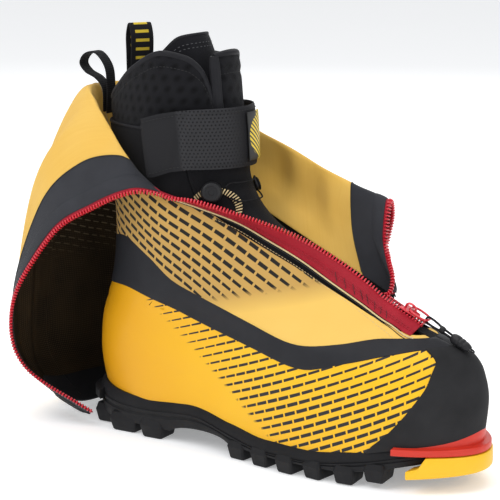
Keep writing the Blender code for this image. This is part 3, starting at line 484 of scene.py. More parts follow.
    plain("cap_rubber", (0.016, 0.016, 0.018), 0.8, (38.0, 5.0, (0.010, 0.010, 0.011), (0.030, 0.030, 0.032)),
          (120.0, 0.68, 0.9), (1500.0, 0.00008), specular=0.18)
    plain("sole_rubber", (0.01, 0.01, 0.011), 0.66, (50.0, 4.0, (0.005, 0.005, 0.006), (0.018, 0.018, 0.020)),
          (150.0, 0.48, 0.75), (1100.0, 0.0001), specular=0.2)
    plain("midsole_rubber", (0.01, 0.01, 0.011), 0.75,
          (60.0, 4.0, (0.006, 0.006, 0.007), (0.016, 0.016, 0.018)), None, (700.0, 0.00015), specular=0.2)

    # carbon shank: twill of two tones
    g = Graph("carbon_weave", (0.02, 0.02, 0.02), 0.35, coat=0.6)
    place = g.node("SeparateXYZ", i_0=g.place())
    twill = g.wave(g.plus(g.both(place.outputs[0], 1000.0),
                        g.both(place.outputs[1], 1000.0)), 2.4)
    g.colour(g.mix(g.edge(twill, 0.6), (0.012, 0.012, 0.013), (0.05, 0.05, 0.052)))
    keep("carbon_weave", g)

    for name, colour, dark, trans in (("welt_plastic", (0.66, 0.040, 0.018), (0.50, 0.018, 0.010), 0.06),
                                      ("insert_plastic", (0.88, 0.54, 0.018), (0.84, 0.46, 0.012), 0.03)):
        g = plain(name, colour, 0.4, (40.0, 3.0, dark, colour), (200.0, 0.36, 0.5), (500.0, 0.00005),
                  coat=0.06, specular=0.35)
        g.set("Subsurface Weight", trans)
        g.set("Subsurface Radius", (0.004, 0.001, 0.0006))

    # zip: coated tape, moulded teeth, painted slider
    g = Graph("zip_tape", (0.36, 0.008, 0.02), 0.5, specular=0.25)
    u, v = g.uv()
    g.colour(g.mix(g.noise(70.0), (0.30, 0.005, 0.016), (0.42, 0.010, 0.026)))
    g.bump(g.wave(v, 0.9), 0.00008)
    g.bump(g.wave(u, 0.7), 0.00004)
    keep("zip_tape", g)
    plain("zip_teeth", (0.72, 0.015, 0.045), 0.3, (300.0, 3.0, (0.52, 0.006, 0.022), (0.66, 0.014, 0.034)),
          coat=0.4)
    plain("red_paint", (0.62, 0.010, 0.025), 0.28, (160.0, 3.0, (0.55, 0.006, 0.018), (0.70, 0.02, 0.04)),
          (400.0, 0.22, 0.4), metallic=0.3, coat=0.7)

    # inner boot: knitted spacer mesh with round holes, and its plain binding
    g = Graph("boot_mesh", (0.008, 0.008, 0.01), 0.85, sheen=0.05, specular=0.12)
    u, v = g.uv()
    # painted shade: the holes are coloured darker for the shade inside them
    hole = g.both(g.dots(u, v, 9.4, 2.3, 2.8), 0.8)
    g.colour(g.mix(hole, g.mix(g.noise(90.0), (0.006, 0.006, 0.0075), (0.015, 0.015, 0.018)),
                   (0.002, 0.002, 0.0025)))
    g.bump(g.less(1.0, hole), 0.0006)
    g.weave(u, v, 1.1, 0.0002)
    keep("boot_mesh", g)
    g = Graph("boot_cloth", (0.006, 0.006, 0.008), 0.75, sheen=0.05, specular=0.15)
    u, v = g.uv()
    g.colour(g.mix(g.noise(70.0), (0.004, 0.004, 0.006), (0.010, 0.010, 0.013)))
    g.weave(u, v, 0.9, 0.00012)
    keep("boot_cloth", g)
    plain("felt", (0.01, 0.01, 0.011), 0.95, (500.0, 6.0, (0.005, 0.005, 0.006), (0.022, 0.022, 0.025)),
          None, (1400.0, 0.0003), sheen=0.1, specular=0.1)
    plain("binding", (0.008, 0.008, 0.01), 0.65, (200.0, 3.0, (0.006, 0.006, 0.008), (0.014, 0.014, 0.017)),
          None, (1800.0, 0.0001, 3.0), sheen=0.04, specular=0.2)

    # strap: webbing with a raised dot grid
    g = Graph("strap_web", (0.02, 0.02, 0.022), 0.62, specular=0.22)
    u, v = g.uv()
    part = g.both(g.above(u, 30.0, 3.0), g.above(74.0, u, 14.0))
    spot = g.both(g.dots(u, v, 2.9, 0.62, 0.3), part)
    g.colour(g.mix(spot, g.mix(part, (0.010, 0.010, 0.012), (0.026, 0.026, 0.029)), (0.003, 0.003, 0.004)))
    g.bump(g.less(1.0, spot), 0.00025)
    g.weave(u, v, 0.8, 0.00008)
    keep("strap_web", g)

    # printed tab: yellow with black diagonal lines
    g = Graph("tab_print", (0.8, 0.6, 0.05), 0.5)
    u, v = g.uv()
    slant = g.do("FRACT", g.do("DIVIDE", g.do("MULTIPLY_ADD", u, 0.75, v), 3.6))
    line = g.edge(g.both(g.less(0.42, slant), 3.6), 0.3)
    a, b = g.less(u, 15.5), g.less(v, 229.5)
    from_middle = g.do("SQRT", g.plus(g.both(a, a), g.both(b, b)))
    black = g.do("MAXIMUM", line, g.both(g.above(from_middle, 14.6, 0.4), g.above(12.5, u, 0.4)))
    g.colour(g.mix(black, (0.84, 0.62, 0.05), (0.02, 0.02, 0.02)))
    g.bump(black, 0.0001)
    keep("tab_print", g)

    # webbing loops: yellow bars on black
    g = Graph("loop_web", (0.008, 0.008, 0.01), 0.75, specular=0.2)
    u, v = g.uv()
    bars = g.edge(g.both(g.less(0.34, g.do("FRACT", g.do("DIVIDE", v, 6.5))), 6.5), 0.3)
    inside = g.above(5.4, g.do("ABSOLUTE", u), 0.4)
    g.colour(g.mix(g.both(bars, inside), (0.007, 0.007, 0.009), (0.72, 0.52, 0.04)))
    g.weave(u, v, 1.0, 0.0002)
    keep("loop_web", g)
    g = Graph("webbing", (0.008, 0.008, 0.01), 0.8, specular=0.2)
    u, v = g.uv()
    g.colour(g.mix(g.edge(g.wave(v, 1.6), 1.2), (0.005, 0.005, 0.006), (0.016, 0.016, 0.019)))
    g.weave(u, v, 1.1, 0.0003)
    keep("webbing", g)

    g = Graph("cord_braid", (0.01, 0.01, 0.011), 0.8, specular=0.2)
    braid = g.node("TexVoronoi", Vector=g.place(), Scale=1100.0)
    g.colour(g.ramp(braid.outputs["Distance"], (0.0, (0.022, 0.022, 0.024)), (0.8, (0.004, 0.004, 0.005))))
    g.bump(braid.outputs["Distance"], 0.0002, 0.8)
    keep("cord_braid", g)
    plain("moulded_black", (0.008, 0.008, 0.009), 0.45,
          (120.0, 3.0, (0.006, 0.006, 0.007), (0.014, 0.014, 0.016)), (300.0, 0.34, 0.55), (1600.0, 0.00006),
          specular=0.3)
    for name, colour in (("thread_black", (0.012, 0.012, 0.013)), ("thread_cream", (0.80, 0.62, 0.32)),
                         ("thread_red", (0.42, 0.01, 0.03)), ("thread_grey", (0.11, 0.11, 0.12))):
        plain(name, colour, 0.7, (900.0, 3.0, colour, tuple(c * 0.6 for c in colour)), None,
              (2500.0, 0.0001, 3.0))
    g = plain("studio_floor", (0.93, 0.93, 0.935), 0.9,
              (3.0, 3.0, (0.925, 0.925, 0.93), (0.935, 0.935, 0.94)), specular=0.1)
    g.set("Emission Color", (0.98, 0.99, 1.0, 1.0))
    g.set("Emission Strength", 0.3)
    return made


M = make_materials()

# ---------------------------------------------------------------- pieces and how they ride
RECORD = frame["record"]
BODY_OF = {node: body for body, nodes in RECORD["behaviour"]["bodies"].items()
           for node in (nodes if isinstance(nodes, list) else nodes.get("nodes", []))}


def own(piece, *nodes, like=None):
    """piece stands for these nodes, or goes with the node named by like."""
    lead = nodes[0] if nodes else like
    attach(piece, BODY_OF[lead])
    if nodes:
        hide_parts(*nodes)
    return piece


def finish_mesh(name, bm, materials, angle=35.0, bevel=0.0):
    bmesh.ops.recalc_face_normals(bm, faces=bm.faces)
    data = bpy.data.meshes.new(name)
    bm.to_mesh(data)
    bm.free()
    for m in materials:
        data.materials.append(M[m])
    data.shade_smooth()
    data.set_sharp_from_angle(angle=math.radians(angle))
    piece = bpy.data.objects.new(name, data)
    bpy.context.scene.collection.objects.link(piece)
    if bevel:
        rounding = piece.modifiers.new("rounding", "BEVEL")
        rounding.width = bevel * MM
        rounding.segments = 2
        rounding.limit_method = "ANGLE"
        rounding.angle_limit = math.radians(40)
        rounding.harden_normals = False
    return piece


def blank():
    """A new mesh with a layer for its print coordinates, and that layer."""
    bm = bmesh.new()
    return bm, bm.loops.layers.uv.new("print")


def add_bar(bm, rings, flipped=False):
    """A closed bar between rings of points, added to the mesh; flipped turns the order of its corners."""
    made = [[bm.verts.new(p) for p in ring] for ring in rings]
    count = len(rings[0])
    for first, second in zip(made, made[1:]):
        for j in range(count):
            k = (j + 1) % count
            corners = [first[j], second[j], second[k], first[k]]
            bm.faces.new(corners[:1] + corners[:0:-1] if flipped else corners)
    for end in (made[0][::-1], made[-1]) if flipped else (made[0], made[-1][::-1]):
        bm.faces.new(end)


def prints(points):
    """Print coordinates of a grid, as the distance along its rows and down its columns."""
    along = [runs(row) for row in points]
    down = zip(*[runs(column) for column in zip(*points)])
    return [list(zip(us, vs)) for us, vs in zip(along, down)]


def slab(name, outer, inner, materials, uv=None, angle=35.0, bevel=0.0, closed=False):
    """A closed plate between two grids: the outer face in the first material, the inner in the last."""
    bm, layer = blank()
    uv = uv or prints(outer)
    rows, columns = len(outer), len(outer[0])
    a = [[bm.verts.new(p) for p in row] for row in outer]
    b = [[bm.verts.new(p) for p in row] for row in inner]
    back = len(materials) - 1

    def face(corners, places, index):
        made = bm.faces.new(corners)
        made.material_index = index
        for loop, (i, j) in zip(made.loops, places):
            loop[layer].uv = uv[i][j]

    span = columns if closed else columns - 1
    for i in range(rows - 1):
        for j in range(span):
            k = (j + 1) % columns
            spots = [(i, j), (i + 1, j), (i + 1, k), (i, k)]
            face([a[p][q] for p, q in spots], spots, 0)
            spots = spots[::-1]
            face([b[p][q] for p, q in spots], spots, back)
    if not closed:
        for i in range(rows - 1):
            k = i + 1
            for j in (0, columns - 1):
                face([a[i][j], b[i][j], b[k][j], a[k][j]], [(i, j), (i, j), (k, j), (k, j)], 0)
    for j in range(span):
        k = (j + 1) % columns
        for i in (0, rows - 1):
            face([a[i][j], b[i][j], b[i][k], a[i][k]], [(i, j), (i, j), (i, k), (i, k)], 0)
    return finish_mesh(name, bm, materials, angle, bevel)


def loft(name, rings, materials, angle=35.0, bevel=0.0):
    """A closed bar between rings of points; its print runs round and along it."""
    bm, layer = blank()
    made = [[bm.verts.new(p) for p in ring] for ring in rings]
    count = len(rings[0])
    lengths = [0.0]
    for first, second in zip(rings, rings[1:]):
        lengths.append(lengths[-1] + (sum(second, Vector()) - sum(first, Vector())).length / count)
    around = runs(rings[0] + rings[0][:1])
    for i, (first, second) in enumerate(zip(made, made[1:])):
        for j in range(count):
            k = (j + 1) % count
            f = bm.faces.new((first[j], second[j], second[k], first[k]))
            for loop, (a, b) in zip(f.loops, ((j, i), (j, i + 1), (j + 1, i + 1), (j + 1, i))):
                loop[layer].uv = (around[a], lengths[b])
    bm.faces.new(made[0])
    bm.faces.new(made[-1][::-1])
    return finish_mesh(name, bm, materials, angle, bevel)


def carried(points, closed=False):
    """For each point of a line: its tangent and two directions square to it, carried without twist."""
    count = len(points)
    frames, reference = [], None
    for i, p in enumerate(points):
        ahead = points[(i + 1) % count] if closed or i + 1 < count else p
        behind = points[i - 1] if closed or i else p
        tangent = (ahead - behind).normalized()
        reference = reference or tangent.orthogonal().normalized()
        reference = (reference - tangent * reference.dot(tangent)).normalized()
        frames.append((tangent, reference, tangent.cross(reference)))
    return frames


def tube(name, points, radius, materials, sides=10, closed=False):
    """A round bar along points; radius in mm is a number or a function of the share of the length."""
    frames = carried(points, closed)
    rings = []
    for i, (p, (_, a, b)) in enumerate(zip(points, frames)):
        r = radius(i / (len(points) - 1)) if callable(radius) else radius
        rings.append([p + (a * math.cos(w) + b * math.sin(w)) * r * MM for w in circle(sides)])
    if not closed:
        return loft(name, rings, materials)
    bm, _ = blank()
    made = [[bm.verts.new(p) for p in ring] for ring in rings]
    for i in range(len(rings)):
        first, second = made[i], made[(i + 1) % len(rings)]
        for j in range(sides):
            k = (j + 1) % sides
            bm.faces.new((first[j], second[j], second[k], first[k]))
    return finish_mesh(name, bm, materials)


def capsules(name, segments, radius, material):
    """Short rounded threads, one for each pair of end points."""
    bm, _ = blank()
    for a, b in segments:
        along = (b - a).normalized()
        x = along.orthogonal().normalized()
        y = along.cross(x)
        rings = []
        for base, shift, share in ((a, 0.0, 0.35), (a, 0.5, 0.9), (b, -0.5, 0.9), (b, 0.0, 0.35)):
            centre = base + along * shift * radius * MM * 2
            r = radius * share * MM
            rings.append([centre + (x * math.cos(w) + y * math.sin(w)) * r for w in circle(6)])
        add_bar(bm, rings)
    return finish_mesh(name, bm, [material])


def resample(points, spacing=None, count=None):
    """Points at even spacing (mm) along a line."""
    run = runs(points)
    count = count or max(2, round(run[-1] / (spacing * MM)))
    made, i = [], 0
    for k in range(count + 1):
        want = run[-1] * k / count
        while i < len(run) - 2 and run[i + 1] < want:
            i += 1
        share = (want - run[i]) / max(run[i + 1] - run[i], 1e-9)
        made.append(points[i].lerp(points[i + 1], share))
    return made


def smooth_line(points, count):
    return [catmull(points, t) for t in steps(count)]


def stitch_row(points, pitch=3.0, fill=0.68):
    """Thread ends for a row of stitches along a line."""
    spots = resample(points, pitch)
    return [(a, a.lerp(b, fill)) for a, b in zip(spots, spots[1:])]


# ---------------------------------------------------------------- panels of the upper
ROLLED_ROWS, ROLLED_COLUMNS = 0.025, 0.01      # shares of a panel over which its edges roll down


def ease(x):
    x = min(max(x, 0.0), 1.0)
    return x * x * (3 - 2 * x)


def fine_steps(count, near=0.012):
    """Even steps from 0 to 1 with two close ones at each end, for a rolled edge."""
    inner = [near * 2.5 + (1 - near * 5) * i / (count - 4) for i in range(count - 3)]
    return [0.0, near * 0.45, near * 1.2] + inner + [1 - near * 1.2, 1 - near * 0.45, 1.0]


def upper_point(turn_at, low, high, r, c, low_off, high_off):
    """The turn and height at the shares r and c of a panel between two lines, moved off by some mm."""
    turn, z = turn_at(80.0, c), 80.0
    for _ in range(5):
        turn = round(turn_at(z, c), 5)
        bottom = line_height(turn, low) + low_off
        z = bottom + (line_height(turn, high) + high_off - bottom) * r
    return turn, z


def upper_panel(name, depth, low, high, turn_at, materials, rows, columns, spill=(0.0, 0.0), relief=None,
                edge=0.5, start_uv=None, lean=True):
    """A panel on the upper, between two depths and past two lines by its spill, with rolled edges.

    relief(x, z, r, c) in mm stands proud of the surface. The print starts at the column start_uv.
    """
    rs, cs = fine_steps(rows), fine_steps(columns, 0.004)
    outer, inner, uv = [[] for _ in rs], [[] for _ in rs], [[] for _ in rs]
    for i, r in enumerate(rs):
        for c in cs:
            turn, z = upper_point(turn_at, low, high, r, c, -spill[0], spill[1])
            drop = edge * (1 - ease(min(min(r, 1 - r) / ROLLED_ROWS, min(c, 1 - c) / ROLLED_COLUMNS)))
            base = skin(turn, z)
            normal = skin_normal(turn, z)
            lift = relief(x_of(base), z, r, c) if relief else 0.0
            outer[i].append(base - normal * (depth[0] + drop - lift) * MM)
            inner[i].append(base - normal * depth[1] * MM)
            uv[i].append(z * MM)
    # the print runs with the distance along the middle row, so it stays even over the whole panel
    start = len(cs) // 2 if start_uv is None else start_uv
    row = outer[len(rs) // 2]
    run = runs(row)
    for i in range(len(rs)):
        for j in range(len(row)):
            shift = outer[i][j].x - row[j].x if lean else 0.0
            uv[i][j] = (abs(run[j] - run[start]) + shift, uv[i][j])
    return slab(name, outer, inner, materials, uv)


def flat_line(value):
    return ((-6, value), (330, value))


def cap_turn(z, side):
    return side * min(abs(turn_of(spline(CAP_EDGE, z), z, side)), 0.985)


def turn_at_height(turn, z):
    return turn(z) if callable(turn) else turn


def between(first, last):
    return lambda z, c: turn_at_height(first, z) * (1 - c) + turn_at_height(last, z) * c


def round_front(lateral, medial):
    """Turns from a lateral turn round the front to a medial one, running on past -1."""
    def turn_at(z, c):
        start = turn_at_height(lateral, z)
        return start + (-2 + turn_at_height(medial, z) - start) * c
    return turn_at


def rough_relief(*waves):
    """Relief of soft noise; waves lists (height in mm, width in mm, seed)."""
    return lambda x, z, r, c: sum(height * soft_noise(x, z, width, seed) for height, width, seed in waves)


def hump(x, z, cx, cz, rx, rz):
    return math.exp(-((x - cx) / rx) ** 2 - ((z - cz) / rz) ** 2)


def soft_noise(x, z, scale, seed):
    return noise.noise(Vector((x / scale, z / scale, seed)))


def make_upper():
    rand = upper_panel("lower_shell", (0.1, 1.9), SOLE_TOP, RAND_TOP,
                       between(lambda z: cap_turn(z, -1) - 0.012, lambda z: cap_turn(z, 1) + 0.012),
                       ["rand_print"], 18, 150, (1.5, 0.8),
                       rough_relief((0.35, 30, 3.0), (0.15, 12, 5.0)))
    own(rand, "rand_shell")
    cap = upper_panel("toe_rubber_cap", (-0.75, 1.9), SOLE_TOP, RAND_TOP,
                      round_front(lambda z: cap_turn(z, -1) + 0.004, lambda z: cap_turn(z, 1) - 0.004),
                      ["cap_rubber"], 24, 70, (1.5, 0.0),
                      lambda x, z, r, c: 0.5 * soft_noise(x, z, 34, 9.0) + 0.4 * ease((r - 0.9) / 0.1), 0.7)
    own(cap, "toe_cap")
    band = upper_panel("film_band", (-0.45, 1.6), RAND_TOP, BAND_TOP, between(-0.9985, 0.9985),
                       ["band_film"], 10, 170, (0.9, 0.9),
                       rough_relief((0.25, 24, 13.0)), 0.4)
    own(band, "rand_band")

    def near_relief(x, z, r, c):
        bulge = 2.2 * hump(x, z, 84, 168, 20, 20) + 0.9 * hump(x, z, 150, 128, 34, 12)
        fold = -0.9 * hump(x - 0.45 * (z - 128), z, 196, 122, 7, 18) + 0.7 * hump(x, z, 222, 108, 16, 7)
        return (bulge + fold) * ease(r / 0.12) * ease((1 - r) / 0.12) + 0.3 * soft_noise(x, z, 26, 17.0)

    near = upper_panel("vamp_lateral", (-0.1, 1.7), BAND_TOP, NEAR_SEAM, between(-0.9553, -0.004),
                       ["vamp_print"], 26, 96, (1.0, 0.3), near_relief, 0.4, -1)
    own(near, "vamp_near")
    far = upper_panel("vamp_medial", (-0.1, 1.7), BAND_TOP, FAR_SEAM, between(0.004, 0.9553),
                      ["vamp_print"], 20, 80, (1.0, 1.6),
                      rough_relief((0.4, 26, 21.0)), 0.4, 0)
    own(far, "vamp_far")
    garage = upper_panel("zip_garage_patch", (-0.2, 1.7), BAND_TOP, flat_line(113.5),
                         round_front(-0.955, 0.955), ["garage_cloth"], 10, 24, (1.0, 0.0), None, 0.4)
    own(garage, "zip_garage")

    # shaft and tongue of the outer boot
    foot = flat_line(146.5)
    shaft = upper_panel("ankle_shaft", (3.5, 5.2), foot, flat_line(SHAFT_TOP), between(-0.66, 0.80),
                        ["shell_cloth"], 22, 60, (0, 0), rough_relief((0.5, 22, 25.0)))
    own(shaft, "shell_shaft")

    def tongue_relief(x, z, r, c):
        return 0.7 * soft_noise(x, z, 18, 29.0) + 0.8 * hump(x, z, 118, 212, 14, 6)

    near_turn, far_turn = -0.664, 0.805
    tongue = upper_panel("shell_tongue_flap", (3.3, 5.2), foot, flat_line(228),
                         round_front(near_turn, far_turn), ["shell_cloth"], 24, 44, (0, 0), tongue_relief)
    own(tongue, "shell_tongue")
    side = [under(far_turn, z, 3.6) for z in steps(40, 150, 227)]
    top = [under(turn, 228.3, 3.9) for turn in steps(40, near_turn, far_turn - 2)]
    rim = [under(turn, 234.8, 4.2) for turn in steps(60, -0.66, 0.80)]
    for name, line, radius, like in (("tongue_piping_far", side, 0.8, "shell_tongue"),
                                     ("tongue_piping_top", top, 1.1, "shell_tongue"),
                                     ("shaft_piping", rim, 1.2, "shell_shaft")):
        own(tube(name, line, radius, ["binding"], 8), like=like)

    nodes = frame["nodes"]
    for node, material in (("shell_body", "shell_cloth"), ("shank_plate", "carbon_weave")):
        nodes[node].data.materials.clear()
        nodes[node].data.materials.append(M[material])
    # the lining shell's flat facets stay behind the smooth panels over it
    sink = nodes["shell_body"].modifiers.new("sink", "DISPLACE")
    sink.strength, sink.mid_level = -1.2 * MM, 0.0


make_upper()


# ---------------------------------------------------------------- sole unit
def sole_half_width(x, side, inset, front_inset=None):
    back, front = -2 + inset, TOE_X - (inset if front_inset is None else front_inset)
    u = min(max((x - back) / (front - back), 0.0), 1.0)
    foot = spline(FOOT_LATERAL if side < 0 else FOOT_MEDIAL, u)
    rounding = 1.0
    if u < 0.16:
        rounding = math.sqrt(max(0.0, 1 - (1 - u / 0.16) ** 2))
    if u > 0.76:
        rounding *= math.sqrt(max(0.0, 1 - (1 - (1 - u) / 0.24) ** 2))
    return max(((53.5 if side < 0 else 50.5) - inset) * foot * rounding, 1.0)


def sole_loft(name, low, high, profile, materials, setback=8.0, stations=90, start=0.0, end=1.0):
    """A layer of the sole. profile lists (share of the height, inset in mm) up its side wall."""
    rings = []
    for t in steps(stations, start, end):
        c = (1 - math.cos(math.pi * t)) / 2
        ring = []
        for side, walk in ((-1, profile), (1, profile[::-1])):
            for share, inset in walk:
                front = max(inset, setback)
                x = -2 + inset + (TOE_X - front + 2 - inset) * c
                z = low(x) + (high(x) - low(x)) * share
                ring.append(at(x, side * sole_half_width(x, side, inset, front), z))
        rings.append(ring)
    return loft(name, rings, materials, 40)


def over_sole(rise):
    return lambda x: spline(SOLE_TOP, x) + rise


def lug_mesh(bm, x, y, length, width, heading, side, climb):
    """A tread lug: a tapered block, its outer face climbing the side wall as a buttress."""
    ground = spline(TREAD, x)
    c, s = math.cos(heading), math.sin(heading)
    half_plan = ((-1, -1), (-0.8, -1.12), (0.8, -1.12), (1, -1))
    plan = half_plan + tuple((-a, -b) for a, b in half_plan)
    rings = []
    for z, scale, lean in ((ground, 0.80, 0.0), (ground + 1.2, 0.86, 0.0), (ground + 9.5, 1.0, 0.5),
                           (ground + 9.5 + climb, 0.86, -1.4)):
        rings.append([])
        for a, b in plan:
            p, q = a * length / 2 * scale, b * width / 2 * (scale if z < ground + 9 else 1.0)
            rings[-1].append(at(x + c * p - s * q, y + s * p + c * q + side * lean, z))
    add_bar(bm, rings, flipped=True)


def make_sole():
    arch_x, arch_half, arch_rise = 113, 27.0, 5.5

    def base(x):
        arch = arch_rise * max(0.0, 1 - ((x - arch_x) / arch_half) ** 2) ** 0.5
        return min(spline(TREAD, x) + 8.5 + arch, spline(SOLE_TOP, x) - 9.5)

    outsole = sole_loft("outsole_plate", base, over_sole(-7.8),
                        [(0.0, 6.0), (0.0, 2.4), (0.12, 1.2), (0.45, 0.5), (0.6, 0.5), (0.66, 1.5),
                         (0.74, 1.6), (0.8, 0.6), (0.95, 0.3), (1.0, 0.9), (1.0, 6.0)], ["sole_rubber"])
    own(outsole, "outsole")
    bm, _ = blank()
    for side in (-1, 1):
        for x, length in ((13, 17), (39, 24), (67, 20)):
            edge = sole_half_width(x, side, 0.6)
            lug_mesh(bm, x, side * (edge - 9.8), length, 20, side * -0.05, side, 5.5)
        for x in (150, 173, 196, 219, 242, 264):
            edge = sole_half_width(x, side, 0.6, 8)
            lug_mesh(bm, x, side * (edge - 10.6), 15.5, 21, side * (0.10 if x < 230 else -0.12), side, 4.5)
    lug_mesh(bm, HEEL_TO_ORIGIN - 2, 0, 17, 15, 0, 0, 0)
    for x in (163, 185, 207, 229, 251):
        for y in (-13, 13):
            lug_mesh(bm, x, y, 13, 17, math.copysign(0.25, y), 0, 0)
    lugs = finish_mesh("tread_lugs", bm, ["sole_rubber"], 30, 0.6)
    own(lugs, like="outsole")
    midsole = sole_loft("midsole_layer", over_sole(-8.0), over_sole(0.9),
                        [(0.0, 6.0), (0.0, 1.4), (0.14, 0.7), (0.5, 0.4), (0.7, 0.9), (0.85, 2.2), (1.0, 3.4),
                         (1.0, 7.0)], ["midsole_rubber"])
    own(midsole, "midsole")


make_sole()


def toe_arc(t, inset, tip, length):
    side = -1 if t < 0 else 1
    x = TOE_X - tip - (length - tip) * (1 - math.cos(abs(t) * math.pi / 2))
    return x, side * sole_half_width(x, side, inset, tip) * min(1.0, abs(t) * 40)


def heel_arc(t, inset, _, length):
    side = -1 if t < 0 else 1
    x = -2 + inset + (length - inset) * (1 - math.cos(abs(t) * math.pi / 2))
    return x, side * sole_half_width(x, side, inset) * min(1.0, abs(t) * 40)


def crescent(name, arc, length, section, materials, count=64, bevel=0.0):
    """A crescent along the sole's plan. section(t) lists (inset at the side, at the tip, height) in mm."""
    rings = []
    for t in steps(count, -1, 1):
        rings.append([at(*arc(t, inset, tip, length), z) for inset, tip, z in section(t)])
    return loft(name, rings, materials, 32, bevel)


def make_welts():
    def ledge(t):
        rise = 8.6 * (1 - abs(t) ** 2.2) ** 0.8 + 0.6
        lip = 1.2 * (1 - abs(t)) ** 0.5
        return [(7.0, 7.2, 26.9), (0.2, -2.2, 26.7), (-2.4, -2.9, 27.0), (-2.9, -3.2, 27.7),
                (-2.9, -3.2, 31.0), (-2.4, -2.8, 31.7), (-0.6, 0.2, 31.8), (0.6, 1.6, 32.4),
                (1.2, 1.9 - lip, 32.2 + rise * 0.55),
                (1.9, 2.4 - lip, 32.0 + rise), (3.0, 3.4, 31.9 + rise), (7.0, 7.2, 31.2)]

    def insert(t):
        low = 10.4 + 3.6 * (1 - abs(t) ** 1.6)
        cut = 8.2 * ease((abs(t) - 0.80) / 0.10) + 1.4 * ease((abs(t) - 0.9) / 0.1)
        return [(7.0, 7.2, low + 0.3), (-2.6, -3.4, low), (-3.6, -4.1, low + 0.9), (-4.0, -4.4, low + 3),
                (-3.9, -4.3, 25.2 - cut), (-3.3, -3.8, 26.2 - cut), (7.0, 7.2, 26.4 - cut)]

    own(crescent("toe_welt_ledge", toe_arc, 46, ledge, ["welt_plastic"]), "toe_welt")
    own(crescent("toe_insert_block", toe_arc, 36, insert, ["insert_plastic"]), "toe_insert")
    own(crescent("heel_welt_ledge", heel_arc, 16, lambda t: [
        (1.0, 1.0, 20.2), (-4.2, -4.2, 20.2), (-4.9, -4.9, 21.2), (-5.0, -5.0, 26.8), (-4.3, -4.3, 27.8),
        (-1.0, -1.0, 28.0), (1.0, 1.0, 29.6)], ["sole_rubber"], 40), "heel_welt")


make_welts()


# ---------------------------------------------------------------- the gaiter, turned down
PATHS = [[at(*p) for p in row] for row in GAITER]
CREASES = (
    # path at each end, t at each end, width and depth in mm
    (6.05, 0.10, 6.15, 0.23, 7.0, -2.6), (6.45, 0.06, 6.75, 0.24, 8.0, -3.0),
    (5.5, 0.10, 5.65, 0.26, 8.0, 2.2),
    (6.9, 0.10, 6.95, 0.22, 7.0, 1.6), (6.3, 0.12, 6.42, 0.24, 8.0, 1.6),
    (1.15, 0.45, 1.35, 0.9, 10.0, 2.6), (1.75, 0.40, 1.7, 0.88, 9.0, -2.4), (2.3, 0.45, 2.2, 0.9, 10.0, 2.2),
    (3.6, 0.42, 3.5, 0.9, 11.0, -3.0), (4.3, 0.42, 4.25, 0.92, 12.0, 3.2), (4.9, 0.40, 5.0, 0.9, 11.0, -2.8),
    (5.6, 0.42, 5.7, 0.9, 11.0, 2.8), (6.3, 0.42, 6.4, 0.9, 11.0, -2.6), (6.9, 0.45, 7.0, 0.88, 11.0, 2.2),
    (0.75, 0.26, 1.05, 0.46, 8.0, -1.8), (1.6, 0.18, 1.9, 0.30, 7.0, 1.2),
)


PATH_GAP, PATH_LENGTH = 46.0, 300.0            # rough size of the cloth between two paths, and along one


def base_cloth(S, t):
    return catmull([catmull(path, t) for path in PATHS], S / LAST)


def crease_lift(S, t):
    lift = 0.0
    for s0, t0, s1, t1, wide, deep in CREASES:
        ax, ay, bx, by = s0 * PATH_GAP, t0 * PATH_LENGTH, s1 * PATH_GAP, t1 * PATH_LENGTH
        px, py = S * PATH_GAP, t * PATH_LENGTH
        share = ((px - ax) * (bx - ax) + (py - ay) * (by - ay)) / max((bx - ax) ** 2 + (by - ay) ** 2, 1e-6)
        share = min(max(share, 0.0), 1.0)
        gap = math.hypot(px - ax - share * (bx - ax), py - ay - share * (by - ay))
        taper = math.sin(math.pi * min(max(0.08 + 0.84 * share, 0), 1)) ** 0.6
        lift += deep * taper * math.exp(-(gap / wide) ** 2)
    lift += 1.1 * noise.noise(Vector((S * 1.3, t * 5.0, 4.0)))
    hold = ease(t / 0.10) * ease(S / 0.5) * ease((LAST - S) / 0.5)
    return lift * hold


@lru_cache(maxsize=None)
def cloth_frame(S, t):
    """A point on the gaiter's middle surface with its folds, and the direction to its lining side."""
    e = 0.012
    across = base_cloth(min(S + e * 4, LAST), t) - base_cloth(max(S - e * 4, 0), t)
    down = base_cloth(S, min(t + e, 1)) - base_cloth(S, max(t - e, 0))
    normal = down.cross(across).normalized()
    return base_cloth(S, t) - normal * crease_lift(S, t) * MM, normal


def cloth_line(spots, depth):
    """Points on the gaiter, depth in mm off its middle surface; spots lists (path, share of it)."""
    frames = [cloth_frame(round(S, 5), round(t, 5)) for S, t in spots]
    return [p - n * depth * MM for p, n in frames]


def cloth_sheet(name, s_range, t_range, materials, columns, rows, thickness=1.4, lift=0.0):
    """A sheet between two paths and two shares of them, with its flat width and height."""
    outer, inner = [], []
    ss = [s_range[0] + (s_range[1] - s_range[0]) * c for c in fine_steps(columns, 0.004)]
    ts = [t_range[0] + (t_range[1] - t_range[0]) * c for c in fine_steps(rows, 0.004)]
    for i, t in enumerate(ts):
        frames = [cloth_frame(round(S, 5), round(t, 5)) for S in ss]
        borders = [min(i, j, len(ts) - 1 - i, len(ss) - 1 - j) for j in range(len(ss))]
        half = [(0.55, 0.85, 1.0)[min(border, 2)] * thickness / 2 for border in borders]
        outer.append([p - n * (lift + h) * MM for (p, n), h in zip(frames, half)])
        inner.append([p - n * (lift - h) * MM for (p, n), h in zip(frames, half)])
    uv = prints(outer)
    made = slab(name, outer, inner, materials, uv)
    wide = sum((a[-1][0] for a in uv)) / len(uv)
    tall = sum((uv[-1][j][1] for j in range(len(uv[0])))) / len(uv[0])
    return made, wide, tall


